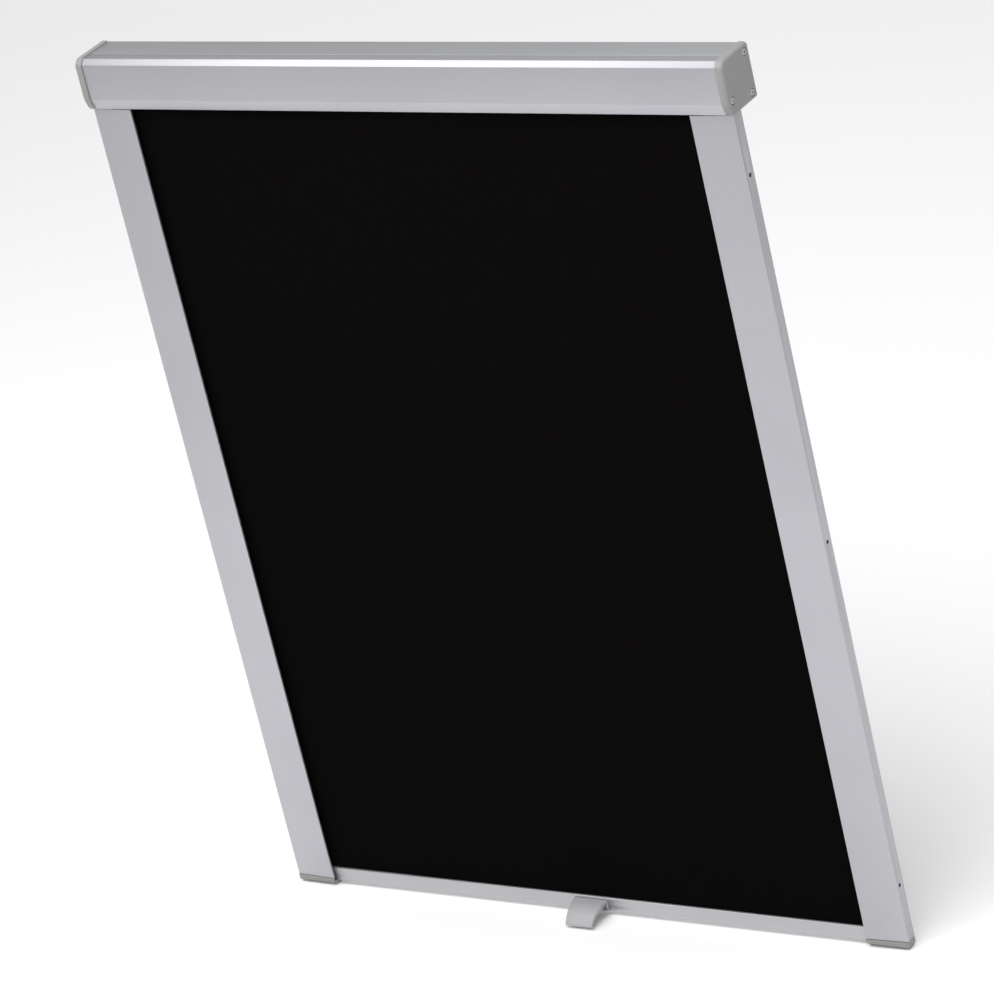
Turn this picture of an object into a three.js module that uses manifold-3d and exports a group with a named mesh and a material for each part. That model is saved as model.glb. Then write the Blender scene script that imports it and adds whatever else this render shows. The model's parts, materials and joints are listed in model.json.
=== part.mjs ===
// Cassette roller blind for a roof window, blackout cloth, side rails and a spring roller.
// Millimetres. X runs across the blind, Z up along it, and the room is towards -Y.
// The origin is the middle of the head box's flat back, which lies on the window.
import * as THREE from 'three';
import { mergeVertices } from 'three/addons/utils/BufferGeometryUtils.js';
import Module from 'manifold-3d';

const wasm = await Module();
wasm.setup();

// The whole blind
const blindWidth = 707;          // over the side rails
const dropBelowHeadBox = 863.5;  // from the head box's underside to the rails' feet
const seat = 0.3;                // gap left between two pieces that touch
const runningGap = 0.3;          // gap between a shaft and what it turns in
const cutOverrun = 2;            // how far a cutter passes through what it cuts

// Head box: a screwed-on back profile and a front cover that hooks over it
const boxHeight = 51.5;
const boxProud = 7.5;            // how far it stands out past the rails' outer edges
const boxWall = 1.5;
const boxTopBevel = 5;           // 45 degree edge along the top of the cover
const boxLowerBevelHeight = 11.1;
const boxLowerBevelDepth = 4;
const boxBendRadius = 4;         // soft bend where the lower bevel starts
const boxEdgeRadius = 0.8;
const coverTopDepth = 16.5;      // from the front to the joint between the two profiles
const coverLipGap = 1.1;         // from a glide's front to the free edge of the cover's bottom
const backLipGap = 8.2;          // from a glide's back to the back profile's bottom edge
const lipFlange = 4;             // upturned edge of each bottom lip
const hookWall = 1.3;
const hookDrop = 3.9;            // how far the cover's hook reaches down
const hookReach = 1.6;
const tongueWall = 1.5;
const backHoleRadius = 2.2;      // for the wood screws into the window
const backHoleSpacing = 150;
const backHoleCount = 4;

// Screws and the round ports that they cut their thread in
const capScrewRadius = 1.7;
const capScrewLength = 25;
const capScrewHeadRadius = 3.5;
const capScrewHeadHeight = 2.1;
const portWall = 1.2;
const portSlit = 1.4;
const portCorner = 4.9;          // from the box's inner faces to the middle of a port
const coverPortDrop = 12.5;      // below the middle of the box
const smallScrewRadius = 1.45;
const smallScrewHeadRadius = 2.7;
const smallScrewHeadHeight = 1.6;
const driveRecess = 0.9;         // depth of the slot in a screw head
const driveWidth = 1;
const headTopShare = 0.8;        // flat top of a screw head, as a share of its radius
const headEdgeShare = 0.5;       // upright edge of a screw head, as a share of its height

// End caps of the head box
const capProud = 0.8;            // how far a cap stands out round the profile
const capThickness = 8.1;
const capPastRail = 3;           // how far a cap reaches out past the rail's outer side
const capEdgeRound = 3.2;
const capBossRadius = 7;
const capBossLength = 8;
const capBlindDepth = 2.2;       // how far the bearing hole goes on into the cap
const capRibLength = 8;
const capRibWall = 1.8;

// Roller
const tubeRadius = 12.7;
const tubeWall = 0.9;
const keyRadius = 1.5;           // round groove that holds the cloth's upper edge
const keyWall = 0.8;
const keyMouth = 1.4;
const keyCentre = 10.7;          // from the roller's axis
const splineGap = 0.3;
const clothThickness = 0.4;
const deadTurns = 2;             // turns left on the roller when the blind is down
const rollRoom = 4.4;            // left behind the roll, because it grows as the blind goes up
const clothInRail = 9.7;         // cloth behind each rail's lip
const plugFlange = 1.5;
const plugLength = 24;
const idlePinRadius = 3;
const idlePinInPlug = 16;
const spindleRadius = 3;
const spindleLength = 150;
const spindleFlat = 3;           // thickness of the flattened end
const springWire = 1.2;
const springRadius = 6.9;        // to the middle of the wire
const springPitch = 2.1;
const springTurns = 38;
const springStepsPerTurn = 8;
const springSides = 5;
const springHubLength = 9;
const anchorFlange = 4;
const anchorRadius = 8;

// Side rails
const railWidth = 44.7;
const railTilt = 2;              // the face leans out towards the cloth by this much
const railFaceWall = 1.6;
const railSideWall = 1.6;
const railBackWall = 1.4;
const railWebWall = 1.4;
const channelDepth = 22.5;       // from the inner edge to the web
const channelGap = 0.1;          // from a glide's front to the inside of the face, at its outer edge
const railBackSetback = 2.4;     // the back wall stops short of the face's inner edge
const lipBeadWidth = 1.7;
const lipBeadHeight = 2.7;
const lipBeadSink = 0.4;         // the bead starts this far below the rail's face
const lipBeadCorner = 0.4;
const railPortRadius = 3;
const railPortSink = 0.4;        // overlap of the port with the walls that carry it
const railHoleRadius = 2.1;
const railDriverHoleRadius = 4.2;
const railHoleCount = 3;
const railHoleMargin = 60;       // from a rail's end to its first hole

// Feet of the rails and the tongues at their heads
const footHeight = 9.5;
const footFloor = 5;
const footCorner = 4;
const footInnerCorner = 1;
const footBevel = 3.6;            // 45 degree edge round the foot's lower front
const footProud = 0.3;
const footDepthMargin = 4;       // how far the cutter that slopes the foot's face reaches out
const plugInRail = 12;
const plugWall = 1.6;
const plugToPort = 0.9;
const plugRootShare = 0.5;       // share of a foot's floor, or of a tongue's plug, joined to its stub
const footScrewLength = 14.5;
const tongueAbove = 13;
const tongueThickness = 3.6;

// Bottom bar
const barHeight = 14.75;
const barDepth = 8.4;
const barWall = 1.2;
const barCorner = 1.1;
const barBehindLip = 10.2;       // length of bar behind each rail's lip
const barFaceToCloth = 3.2;      // from the bar's front to the middle of the cloth
const barKeyRadius = 2.1;
const barKeyMouth = 1.1;
const barKeyRoof = 1;

// Glides, brake shoes and their springs at the ends of the bar
const glideHeight = 20;
const glideDepth = 9.6;
const glideLength = 9.7;
const glideSpigot = 18;
const glideCorner = 1.6;
const shoeHeight = 10;
const shoeDepth = 5.6;
const shoeCorner = 0.7;
const shoeLength = 6.4;
const shoeStroke = 0.8;
const shoeBore = 3.7;
const shoeSpringRadius = 1.5;    // to the middle of the wire
const shoeSpringWire = 0.5;
const shoeSpringLength = 5.6;
const shoeSpringTurns = 5;

// Handle
const handleRootWidth = 38;
const handleTipWidth = 30;
const handleReach = 31;
const handleTopInset = 2.5;      // below the bar's top edge
const handleRootHeight = 12.1;
const handleScrewSpacing = 20;
const handleHollowDepth = 5;     // the root is hollowed from both sides, beside its screws
const handleScrewDepth = 5.5;

// Counts of flats on round pieces
const roundSides = 40;
const smallSides = 20;
const cornerSteps = 3;
const capEdgeSteps = 4;

// Places that follow from those sizes. "Front" is a distance from the head box's back.
const halfWidth = blindWidth / 2;
const halfOpening = halfWidth - railWidth;
const boxTop = boxHeight / 2;
const boxBottom = -boxTop;
const capOuter = halfWidth + capPastRail;
const capInner = capOuter - capThickness;
const boxHalfLength = capInner - seat;
const capScrewBore = capScrewRadius + runningGap;
const portRadius = capScrewBore + portWall;
const smallScrewBore = smallScrewRadius + runningGap;
const rollInner = tubeRadius + seat;
const rollOuter = rollInner + deadTurns * clothThickness;
const rollerFront = boxWall + rollRoom + rollOuter;
const clothFront = rollerFront + rollOuter + seat + clothThickness / 2;
const barFront = clothFront + barFaceToCloth;
const barBack = barFront - barDepth;
const glideBack = (barBack + barFront - glideDepth) / 2;
const glideFront = glideBack + glideDepth;
const channelFloor = glideBack - seat;
const railBack = channelFloor - railBackWall;
const railFaceOuter = glideFront + channelGap + railFaceWall;
const boxDepth = railFaceOuter + boxProud;
const seamDepth = boxDepth - coverTopDepth;
const coverLipDepth = glideFront + coverLipGap;
const backLipDepth = glideBack - backLipGap;
const railTop = boxBottom - capProud - seat;
const footBottom = boxBottom - dropBelowHeadBox;
const railFoot = footBottom + footHeight;
const footTop = railFoot - seat;
const barBottom = footBottom + footFloor + seat;
const barTop = barBottom + barHeight;
const clothHalfWidth = halfOpening + clothInRail;
const webFace = halfOpening + channelDepth;
const barHalfLength = halfOpening + barBehindLip;
const tubeHalfLength = capInner - capBossLength - seat - plugFlange;
const plugRadius = tubeRadius - tubeWall - runningGap;
const springInside = springRadius * Math.cos(Math.PI / springStepsPerTurn) - springWire / 2;
const springHubRadius = springInside - runningGap;

// Finishes
const finish = {
  aluminium: new THREE.MeshStandardMaterial({ color: 0xb4b4b9, metalness: 0.6, roughness: 0.45 }),
  coverPaint: new THREE.MeshStandardMaterial({ color: 0xb0b0b5, metalness: 0.5, roughness: 0.45 }),
  millFinish: new THREE.MeshStandardMaterial({ color: 0xc4c5c7, metalness: 0.8, roughness: 0.4 }),
  greyPlastic: new THREE.MeshStandardMaterial({ color: 0x8f8f93, metalness: 0, roughness: 0.5 }),
  darkPlastic: new THREE.MeshStandardMaterial({ color: 0x3a3b3d, metalness: 0, roughness: 0.55 }),
  whitePlastic: new THREE.MeshStandardMaterial({ color: 0xe6e6e2, metalness: 0, roughness: 0.5 }),
  steel: new THREE.MeshStandardMaterial({ color: 0xa9abae, metalness: 0.9, roughness: 0.35 }),
  cloth: new THREE.MeshStandardMaterial({ color: 0x0e0d0e, metalness: 0, roughness: 0.9 }),
  felt: new THREE.MeshStandardMaterial({ color: 0x55565a, metalness: 0, roughness: 0.95 }),
};

// Outlines

// Rounds the corners of a polygon. A radius of zero leaves a corner sharp.
function rounded(points, radii, steps = cornerSteps) {
  const result = [];
  points.forEach((point, i) => {
    const corner = new THREE.Vector2(...point);
    const before = new THREE.Vector2(...points[(i + points.length - 1) % points.length]).sub(corner);
    const after = new THREE.Vector2(...points[(i + 1) % points.length]).sub(corner);
    const radius = Array.isArray(radii) ? radii[i] : radii;
    if (!radius) {
      result.push(point);
      return;
    }
    before.normalize();
    after.normalize();
    const half = Math.acos(before.dot(after)) / 2;
    const tangent = radius / Math.tan(half);
    const middle = before.clone().add(after).normalize();
    const centre = corner.clone().addScaledVector(middle, radius / Math.sin(half));
    const from = corner.clone().addScaledVector(before, tangent).sub(centre);
    const to = corner.clone().addScaledVector(after, tangent).sub(centre);
    const turn = Math.atan2(from.cross(to), from.dot(to));
    for (let k = 0; k <= steps; k += 1) {
      const at = from.clone().rotateAround(new THREE.Vector2(), turn * k / steps).add(centre);
      result.push([at.x, at.y]);
    }
  });
  return result;
}

// Moves each side of a convex polygon inwards by its own distance.
function inset(points, distances) {
  const count = points.length;
  const lines = points.map((point, i) => {
    const next = points[(i + 1) % count];
    const along = new THREE.Vector2(next[0] - point[0], next[1] - point[1]).normalize();
    const normal = new THREE.Vector2(-along.y, along.x);
    return { along, at: new THREE.Vector2(...point).addScaledVector(normal, distances[i]) };
  });
  return points.map((_, i) => {
    const a = lines[(i + count - 1) % count];
    const b = lines[i];
    const travel = b.at.clone().sub(a.at).cross(b.along) / a.along.cross(b.along);
    const meet = a.at.clone().addScaledVector(a.along, travel);
    return [meet.x, meet.y];
  });
}

// A strip of even thickness on the left of an open path, with mitred bends.
function strip(path, thickness) {
  const side = path.map((point, i) => {
    const here = new THREE.Vector2(...point);
    const into = i > 0 ? here.clone().sub(new THREE.Vector2(...path[i - 1])).normalize() : null;
    const out = i < path.length - 1
      ? new THREE.Vector2(...path[i + 1]).sub(here).normalize() : null;
    const first = into ?? out;
    const second = out ?? into;
    const middle = first.clone().add(second).normalize();
    const normal = new THREE.Vector2(-middle.y, middle.x);
    here.addScaledVector(normal, thickness / middle.dot(first));
    return [here.x, here.y];
  });
  return [...path, ...side.reverse()];
}

// The same on the right of the path, with bends rounded. The inner radii follow the outer.
function roundedStrip(path, thickness, radii) {
  const inner = radii.map((radius) => Math.max(radius - thickness, 0));
  return rounded(strip(path, -thickness), [...radii, ...inner.reverse()]);
}

function rectangle(x0, x1, y0, y1) {
  return [[x0, y0], [x1, y0], [x1, y1], [x0, y1]];
}

function circle(x, y, radius, sides = smallSides) {
  return Array.from({ length: sides }, (_, i) => {
    const angle = 2 * Math.PI * (i + 0.5) / sides;
    return [x + radius * Math.cos(angle), y + radius * Math.sin(angle)];
  });
}

function shapeOf(points) {
  return new THREE.Shape(points.map(([x, y]) => new THREE.Vector2(x, y)));
}

// Solids

// An outline drawn in (front, up), pulled along X. Front distances point towards -Y.
function acrossBlind(points, x0, x1) {
  const geometry = new THREE.ExtrudeGeometry(shapeOf(points.map(([front, up]) => [-front, up])),
    { depth: x1 - x0, bevelEnabled: false, curveSegments: 1 });
  const axes = new THREE.Matrix4().makeBasis(new THREE.Vector3(0, 1, 0),
    new THREE.Vector3(0, 0, 1), new THREE.Vector3(1, 0, 0));
  geometry.applyMatrix4(axes);
  geometry.translate(x0, 0, 0);
  return geometry;
}

// An outline drawn in (x, front), pulled up along Z.
function upBlind(points, z0, z1) {
  const geometry = new THREE.ExtrudeGeometry(shapeOf(points.map(([x, front]) => [x, -front])),
    { depth: z1 - z0, bevelEnabled: false, curveSegments: 1 });
  geometry.translate(0, 0, z0);
  return geometry;
}

// An outline drawn in (x, up), pulled from one front distance to a greater one.
function throughBlind(points, front0, front1) {
  const geometry = new THREE.ExtrudeGeometry(shapeOf(points),
    { depth: front1 - front0, bevelEnabled: false, curveSegments: 1 });
  geometry.rotateX(Math.PI / 2);
  geometry.translate(0, -front0, 0);
  return geometry;
}

// Turns the triangles round if the surface was made inside out.
function facingOut(geometry) {
  const solid = stripped(geometry);
  const place = solid.getAttribute('position');
  const index = solid.getIndex().array;
  let volume = 0;
  const corners = [new THREE.Vector3(), new THREE.Vector3(), new THREE.Vector3()];
  for (let i = 0; i < index.length; i += 3) {
    corners.forEach((corner, k) => corner.fromBufferAttribute(place, index[i + k]));
    volume += corners[0].dot(corners[1].clone().cross(corners[2]));
  }
  if (volume < 0) {
    for (let i = 0; i < index.length; i += 3) {
      [index[i], index[i + 1]] = [index[i + 1], index[i]];
    }
  }
  return solid;
}

function stripped(geometry) {
  const copy = geometry.clone();
  copy.deleteAttribute('normal');
  copy.deleteAttribute('uv');
  const merged = mergeVertices(copy);
  const kept = [];
  const index = merged.getIndex().array;
  for (let i = 0; i < index.length; i += 3) {
    const [a, b, c] = [index[i], index[i + 1], index[i + 2]];
    if (a !== b && b !== c && c !== a) kept.push(a, b, c);
  }
  merged.setIndex(kept);
  return merged;
}

function manifold(geometry) {
  const merged = stripped(geometry);
  return new wasm.Manifold(new wasm.Mesh({
    numProp: 3,
    vertProperties: new Float32Array(merged.getAttribute('position').array),
    triVerts: new Uint32Array(merged.getIndex().array),
  }));
}

function geometryOf(body) {
  const raw = body.getMesh();
  const geometry = new THREE.BufferGeometry();
  geometry.setAttribute('position', new THREE.Float32BufferAttribute(raw.vertProperties, 3));
  geometry.setIndex([...raw.triVerts]);
  return geometry;
}

function joined(...geometries) {
  return geometries.map(manifold).reduce((whole, next) => whole.add(next));
}

function cut(body, ...geometries) {
  return geometries.map(manifold).reduce((whole, next) => whole.subtract(next), body);
}

// Skins a row of like outlines in (front, up), each at its own x.
function lofted(sections) {
  const count = sections[0].points.length;
  const positions = [];
  sections.forEach(({ points, x }) => points.forEach(([front, up]) => positions.push(x, -front, up)));
  const index = [];
  for (let s = 0; s < sections.length - 1; s += 1) {
    for (let i = 0; i < count; i += 1) {
      const [a, b] = [s * count + i, s * count + (i + 1) % count];
      index.push(a, b, b + count, a, b + count, a + count);
    }
  }
  const first = THREE.ShapeUtils.triangulateShape(
    sections[0].points.map((point) => new THREE.Vector2(...point)), []);
  const lastStart = (sections.length - 1) * count;
  first.forEach(([a, b, c]) => {
    index.push(a, c, b);
    index.push(lastStart + a, lastStart + b, lastStart + c);
  });
  const geometry = new THREE.BufferGeometry();
  geometry.setAttribute('position', new THREE.Float32BufferAttribute(positions, 3));
  geometry.setIndex(index);
  return facingOut(geometry);
}

// A wire coil along X, one unbroken tube. It prints its least gap to itself.
function coil(name, { radius, wire, pitch, turns, x, front, up, steps, sides }) {
  const total = turns * steps;
  const centres = Array.from({ length: total + 1 }, (_, i) => {
    const angle = 2 * Math.PI * i / steps;
    return new THREE.Vector3(x + pitch * i / steps,
      -front + radius * Math.cos(angle), up + radius * Math.sin(angle));
  });
  const positions = [];
  centres.forEach((centre, i) => {
    const before = centres[Math.max(i - 1, 0)];
    const after = centres[Math.min(i + 1, total)];
    const along = after.clone().sub(before).normalize();
    const outward = centre.clone().sub(new THREE.Vector3(centre.x, -front, up)).normalize();
    outward.addScaledVector(along, -outward.dot(along)).normalize();
    const across = along.clone().cross(outward);
    for (let k = 0; k < sides; k += 1) {
      const angle = 2 * Math.PI * k / sides;
      const rim = centre.clone().addScaledVector(outward, wire / 2 * Math.cos(angle));
      rim.addScaledVector(across, wire / 2 * Math.sin(angle));
      positions.push(rim.x, rim.y, rim.z);
    }
  });
  const index = [];
  for (let i = 0; i < total; i += 1) {
    for (let k = 0; k < sides; k += 1) {
      const [a, b] = [i * sides + k, i * sides + (k + 1) % sides];
      index.push(a, b, b + sides, a, b + sides, a + sides);
    }
  }
  for (let k = 1; k < sides - 1; k += 1) {
    index.push(0, k + 1, k);
    index.push(total * sides, total * sides + k, total * sides + k + 1);
  }
  let least = Infinity;
  for (let i = 0; i <= total; i += 1) {
    for (let j = i + Math.ceil(steps / 2); j <= total; j += 1) {
      least = Math.min(least, centres[i].distanceTo(centres[j]) - wire);
    }
  }
  console.log(`${name}: least gap between turns ${least.toFixed(2)} mm`);
  const geometry = new THREE.BufferGeometry();
  geometry.setAttribute('position', new THREE.Float32BufferAttribute(positions, 3));
  geometry.setIndex(index);
  return facingOut(geometry);
}

const blind = new THREE.Group();

function place(name, body, material) {
  const geometry = body.isBufferGeometry ? body : geometryOf(body);
  const mesh = new THREE.Mesh(geometry, material);
  mesh.name = name;
  blind.add(mesh);
}

// Left is -X. A mirrored piece is worked out from the same distances.
const sidesOfBlind = [['left', -1], ['right', 1]];

// A rod or a hole along X between two places.
function rodAcross(radius, x0, x1, front, up, sides = smallSides) {
  return acrossBlind(circle(front, up, radius, sides), Math.min(x0, x1), Math.max(x0, x1));
}

// A block between two x places, given in any order.
function blockAcross(points, x0, x1) {
  return acrossBlind(points, Math.min(x0, x1), Math.max(x0, x1));
}

// A pan head screw along +Y, with the underside of its head at the origin and a driver slot.
function panScrew(radius, length, headRadius, headHeight) {
  const profile = [
    [0, -headHeight], [headRadius * headTopShare, -headHeight],
    [headRadius, -headHeight * headEdgeShare], [headRadius, 0],
    [radius, 0], [radius, length - radius], [0, length],
  ].map(([out, along]) => new THREE.Vector2(out, along));
  const slot = new THREE.BoxGeometry(2 * headRadius, driveRecess + cutOverrun, driveWidth);
  slot.translate(0, (driveRecess - cutOverrun) / 2 - headHeight, 0);
  return geometryOf(cut(manifold(facingOut(new THREE.LatheGeometry(profile, smallSides))), slot));
}

// Head box

// The outside of the head box, seen from its right end. It starts at the back, low down.
const boxOutline = [
  [0, boxBottom],
  [boxDepth - boxLowerBevelDepth, boxBottom],
  [boxDepth, boxBottom + boxLowerBevelHeight],
  [boxDepth, boxTop - boxTopBevel],
  [boxDepth - boxTopBevel, boxTop],
  [0, boxTop],
];

const boxPorts = {
  upper: [boxWall + portCorner, boxTop - boxWall - portCorner],
  lower: [boxWall + portCorner, boxBottom + boxWall + portCorner],
  front: [boxDepth - boxWall - portCorner, -coverPortDrop],
};

// A round port on a short stem that ties it to the wall beside it.
function portOn([front, up], stemPoints, half) {
  return joined(acrossBlind(circle(front, up, portRadius), -half, half),
    acrossBlind(stemPoints, -half, half));
}

function portCutters([front, up], towards) {
  const angle = Math.atan2(towards[1], towards[0]);
  const half = portSlit / 2;
  const reach = portRadius + cutOverrun;
  const slit = rectangle(0, reach, -half, half).map(([x, y]) => [
    front + x * Math.cos(angle) - y * Math.sin(angle),
    up + x * Math.sin(angle) + y * Math.cos(angle),
  ]);
  const end = boxHalfLength + cutOverrun;
  return [acrossBlind(circle(front, up, capScrewBore), -end, end), acrossBlind(slit, -end, end)];
}

function headBoxBack() {
  const half = boxHalfLength;
  const tongueTop = boxTop - boxWall - seat;
  const path = [
    [backLipDepth, boxBottom + lipFlange], [backLipDepth, boxBottom],
    [0, boxBottom], [0, boxTop], [seamDepth - seat, boxTop],
  ];
  const shell = acrossBlind(strip([...path].reverse(), boxWall), -half, half);
  const drop = rectangle(seamDepth - seat - boxWall, seamDepth - seat,
    tongueTop - tongueWall, boxTop - boxWall / 2);
  const tongue = rectangle(seamDepth - seat - boxWall, seamDepth + hookReach - seat,
    tongueTop - tongueWall, tongueTop);
  const stems = ['upper', 'lower'].map((key) => {
    const [front, up] = boxPorts[key];
    return portOn([front, up], rectangle(boxWall / 2, front, up - portWall / 2, up + portWall / 2), half);
  });
  let body = joined(shell, acrossBlind(drop, -half, half), acrossBlind(tongue, -half, half));
  stems.forEach((stem) => { body = body.add(stem); });
  body = cut(body, ...portCutters(boxPorts.upper, [1, -1]), ...portCutters(boxPorts.lower, [1, 1]));
  const holes = Array.from({ length: backHoleCount }, (_, i) => {
    const x = (i - (backHoleCount - 1) / 2) * backHoleSpacing;
    return throughBlind(circle(x, 0, backHoleRadius), -cutOverrun, boxWall + cutOverrun);
  });
  return cut(body, ...holes);
}

function headBoxCover() {
  const half = boxHalfLength;
  const outside = [
    [seamDepth, boxTop], [boxDepth - boxTopBevel, boxTop], [boxDepth, boxTop - boxTopBevel],
    [boxDepth, boxBottom + boxLowerBevelHeight], [boxDepth - boxLowerBevelDepth, boxBottom],
    [coverLipDepth, boxBottom], [coverLipDepth, boxBottom + lipFlange],
  ];
  const radii = [0, boxEdgeRadius, boxEdgeRadius, boxBendRadius, boxEdgeRadius, 0, 0];
  const shell = acrossBlind(roundedStrip(outside, boxWall, radii), -half, half);
  const hookTop = boxTop - boxWall / 2;
  const hookBottom = boxTop - boxWall - hookDrop;
  const hookBack = seamDepth + hookReach;
  const hook = [
    [hookBack, hookTop], [hookBack, hookBottom + hookWall], [seamDepth - hookReach, hookBottom + hookWall],
    [seamDepth - hookReach, hookBottom], [hookBack + hookWall, hookBottom], [hookBack + hookWall, hookTop],
  ];
  const [front, up] = boxPorts.front;
  const stem = rectangle(front, boxDepth - boxWall / 2, up - portWall / 2, up + portWall / 2);
  const body = joined(shell, acrossBlind(hook, -half, half)).add(portOn([front, up], stem, half));
  return cut(body, ...portCutters(boxPorts.front, [-1, 0]));
}

// The cap is moulded: a shell-edged plate with locating ribs and a bearing boss inside.
function endCap(side, bearingHole) {
  const proud = [-capProud, -capProud, -capProud, -capProud, -capProud, 0];
  const corners = [0, capProud + boxEdgeRadius + capEdgeRound, capProud + boxBendRadius + capEdgeRound,
    capProud + boxEdgeRadius + capEdgeRound, capProud + boxEdgeRadius + capEdgeRound, 0];
  const whole = inset(boxOutline, proud);
  const sections = [{ points: rounded(whole, corners), x: side * capInner }];
  for (let k = 0; k <= capEdgeSteps; k += 1) {
    const angle = Math.PI / 2 * k / capEdgeSteps;
    const back = capEdgeRound * (1 - Math.cos(angle));
    const edges = [back, back, back, back, back, 0];
    const radii = corners.map((radius) => (radius ? radius - back : 0));
    const x = capOuter - capEdgeRound + capEdgeRound * Math.sin(angle);
    sections.push({ points: rounded(inset(whole, edges), radii), x: side * x });
  }
  let body = manifold(lofted(sections));
  const ribEnd = side * (capInner - capRibLength);
  const inside = side * (capInner + cutOverrun);
  const frontFace = boxDepth - boxWall - seat;
  const ribs = [
    rectangle(frontFace - capRibWall, frontFace, boxPorts.front[1] + portRadius + seat,
      boxTop - boxTopBevel - capRibWall),
    rectangle(boxWall + seat, boxWall + seat + capRibWall,
      boxPorts.lower[1] + portRadius + seat, boxPorts.upper[1] - portRadius - seat),
    rectangle(boxPorts.lower[0] + portRadius + seat, backLipDepth - boxWall - seat,
      boxBottom + boxWall + seat, boxBottom + boxWall + seat + capRibWall),
  ];
  ribs.forEach((rib) => { body = body.add(manifold(blockAcross(rib, ribEnd, inside))); });
  const bossEnd = side * (capInner - capBossLength);
  body = body.add(manifold(rodAcross(capBossRadius, bossEnd, inside, rollerFront, 0, roundSides)));
  const holeEnd = side * (capInner + capBlindDepth);
  body = cut(body, bearingHole(bossEnd - side * cutOverrun, holeEnd));
  Object.values(boxPorts).forEach(([front, up]) => {
    const outer = side * (capOuter + cutOverrun);
    const headFloor = side * (capOuter - capScrewHeadHeight - seat);
    body = cut(body, rodAcross(capScrewBore, side * (capInner - cutOverrun), outer, front, up),
      rodAcross(capScrewHeadRadius + runningGap, headFloor, outer, front, up));
  });
  return body;
}

place('head_box_back', headBoxBack(), finish.millFinish);
place('head_box_cover', headBoxCover(), finish.coverPaint);

const bearingHoles = {
  left: (x0, x1) => rodAcross(idlePinRadius + runningGap, x0, x1, rollerFront, 0),
  right: (x0, x1) => blockAcross(rectangle(rollerFront - spindleFlat / 2 - runningGap,
    rollerFront + spindleFlat / 2 + runningGap,
    -spindleRadius - runningGap, spindleRadius + runningGap), x0, x1),
};
sidesOfBlind.forEach(([name, side]) => {
  place(`end_cap_${name}`, endCap(side, bearingHoles[name]), finish.greyPlastic);
  Object.entries(boxPorts).forEach(([key, [front, up]]) => {
    const screw = panScrew(capScrewRadius, capScrewLength, capScrewHeadRadius, capScrewHeadHeight);
    screw.rotateZ(side * Math.PI / 2);
    screw.translate(side * (capOuter - capScrewHeadHeight), -front, up);
    place(`end_cap_screw_${name}_${key}`, screw, finish.steel);
  });
});

// Roller

// The tube is an extrusion with a round groove along it for the cloth's edge.
function rollerTube() {
  const half = tubeHalfLength;
  const end = half + cutOverrun;
  const body = manifold(rodAcross(tubeRadius, -half, half, rollerFront, 0, roundSides));
  const hollow = cut(body, rodAcross(tubeRadius - tubeWall, -end, end, rollerFront, 0, roundSides));
  const grooveWall = rodAcross(keyRadius + keyWall, -half, half, rollerFront, keyCentre);
  const mouth = rectangle(rollerFront - keyMouth / 2, rollerFront + keyMouth / 2,
    keyCentre, tubeRadius + cutOverrun);
  return cut(hollow.add(manifold(grooveWall)), acrossBlind(mouth, -end, end),
    rodAcross(keyRadius, -end, end, rollerFront, keyCentre));
}

// The turns of cloth that stay on the tube, with the step where the outer turn leaves it.
function clothRoll() {
  const step = Array.from({ length: roundSides + 1 }, (_, i) => {
    const share = i / roundSides;
    const radius = rollOuter - clothThickness * (1 - share);
    const angle = 2 * Math.PI * share;
    return [rollerFront + radius * Math.cos(angle), radius * Math.sin(angle)];
  });
  const half = clothHalfWidth;
  const core = rodAcross(rollInner, -half - cutOverrun, half + cutOverrun, rollerFront, 0, roundSides);
  return cut(manifold(acrossBlind(step, -half, half)), core);
}

// A plug seated in the tube's end. Its side is notched to clear the groove.
function tubePlug(side, hubLength, boreRadius, boreFrom, boreTo) {
  const outer = side * (tubeHalfLength + plugFlange);
  const inner = side * (tubeHalfLength - plugLength);
  let body = manifold(rodAcross(tubeRadius, side * (tubeHalfLength + seat), outer,
    rollerFront, 0, roundSides));
  body = body.add(manifold(rodAcross(plugRadius, inner, outer, rollerFront, 0, roundSides)));
  if (hubLength) {
    body = body.add(manifold(rodAcross(springHubRadius, inner - side * hubLength, outer,
      rollerFront, 0)));
  }
  const notch = rectangle(rollerFront - keyRadius - keyWall - seat, rollerFront + keyRadius + keyWall + seat,
    keyCentre - keyRadius - keyWall - seat, tubeRadius + cutOverrun);
  const deep = side * (tubeHalfLength - plugLength - cutOverrun);
  return cut(body, blockAcross(notch, deep, side * (tubeHalfLength + seat)),
    rodAcross(boreRadius, boreFrom, boreTo, rollerFront, 0));
}

place('roller_tube', rollerTube(), finish.millFinish);
place('cloth_roll', clothRoll(), finish.cloth);
place('cloth_spline', rodAcross(keyRadius - splineGap, -clothHalfWidth, clothHalfWidth,
  rollerFront, keyCentre), finish.whitePlastic);

const idlePinInner = -(tubeHalfLength + plugFlange - idlePinInPlug);
place('idle_plug', tubePlug(-1, 0, idlePinRadius + runningGap, idlePinInner + runningGap,
  -(tubeHalfLength + plugFlange + cutOverrun)), finish.darkPlastic);
place('idle_pin', rodAcross(idlePinRadius, idlePinInner, -(capInner + capBlindDepth - runningGap),
  rollerFront, 0), finish.steel);

const springPlugInner = tubeHalfLength - plugLength - springHubLength;
place('spring_plug', tubePlug(1, springHubLength, spindleRadius + runningGap,
  springPlugInner - cutOverrun, tubeHalfLength + plugFlange + cutOverrun), finish.darkPlastic);

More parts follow.
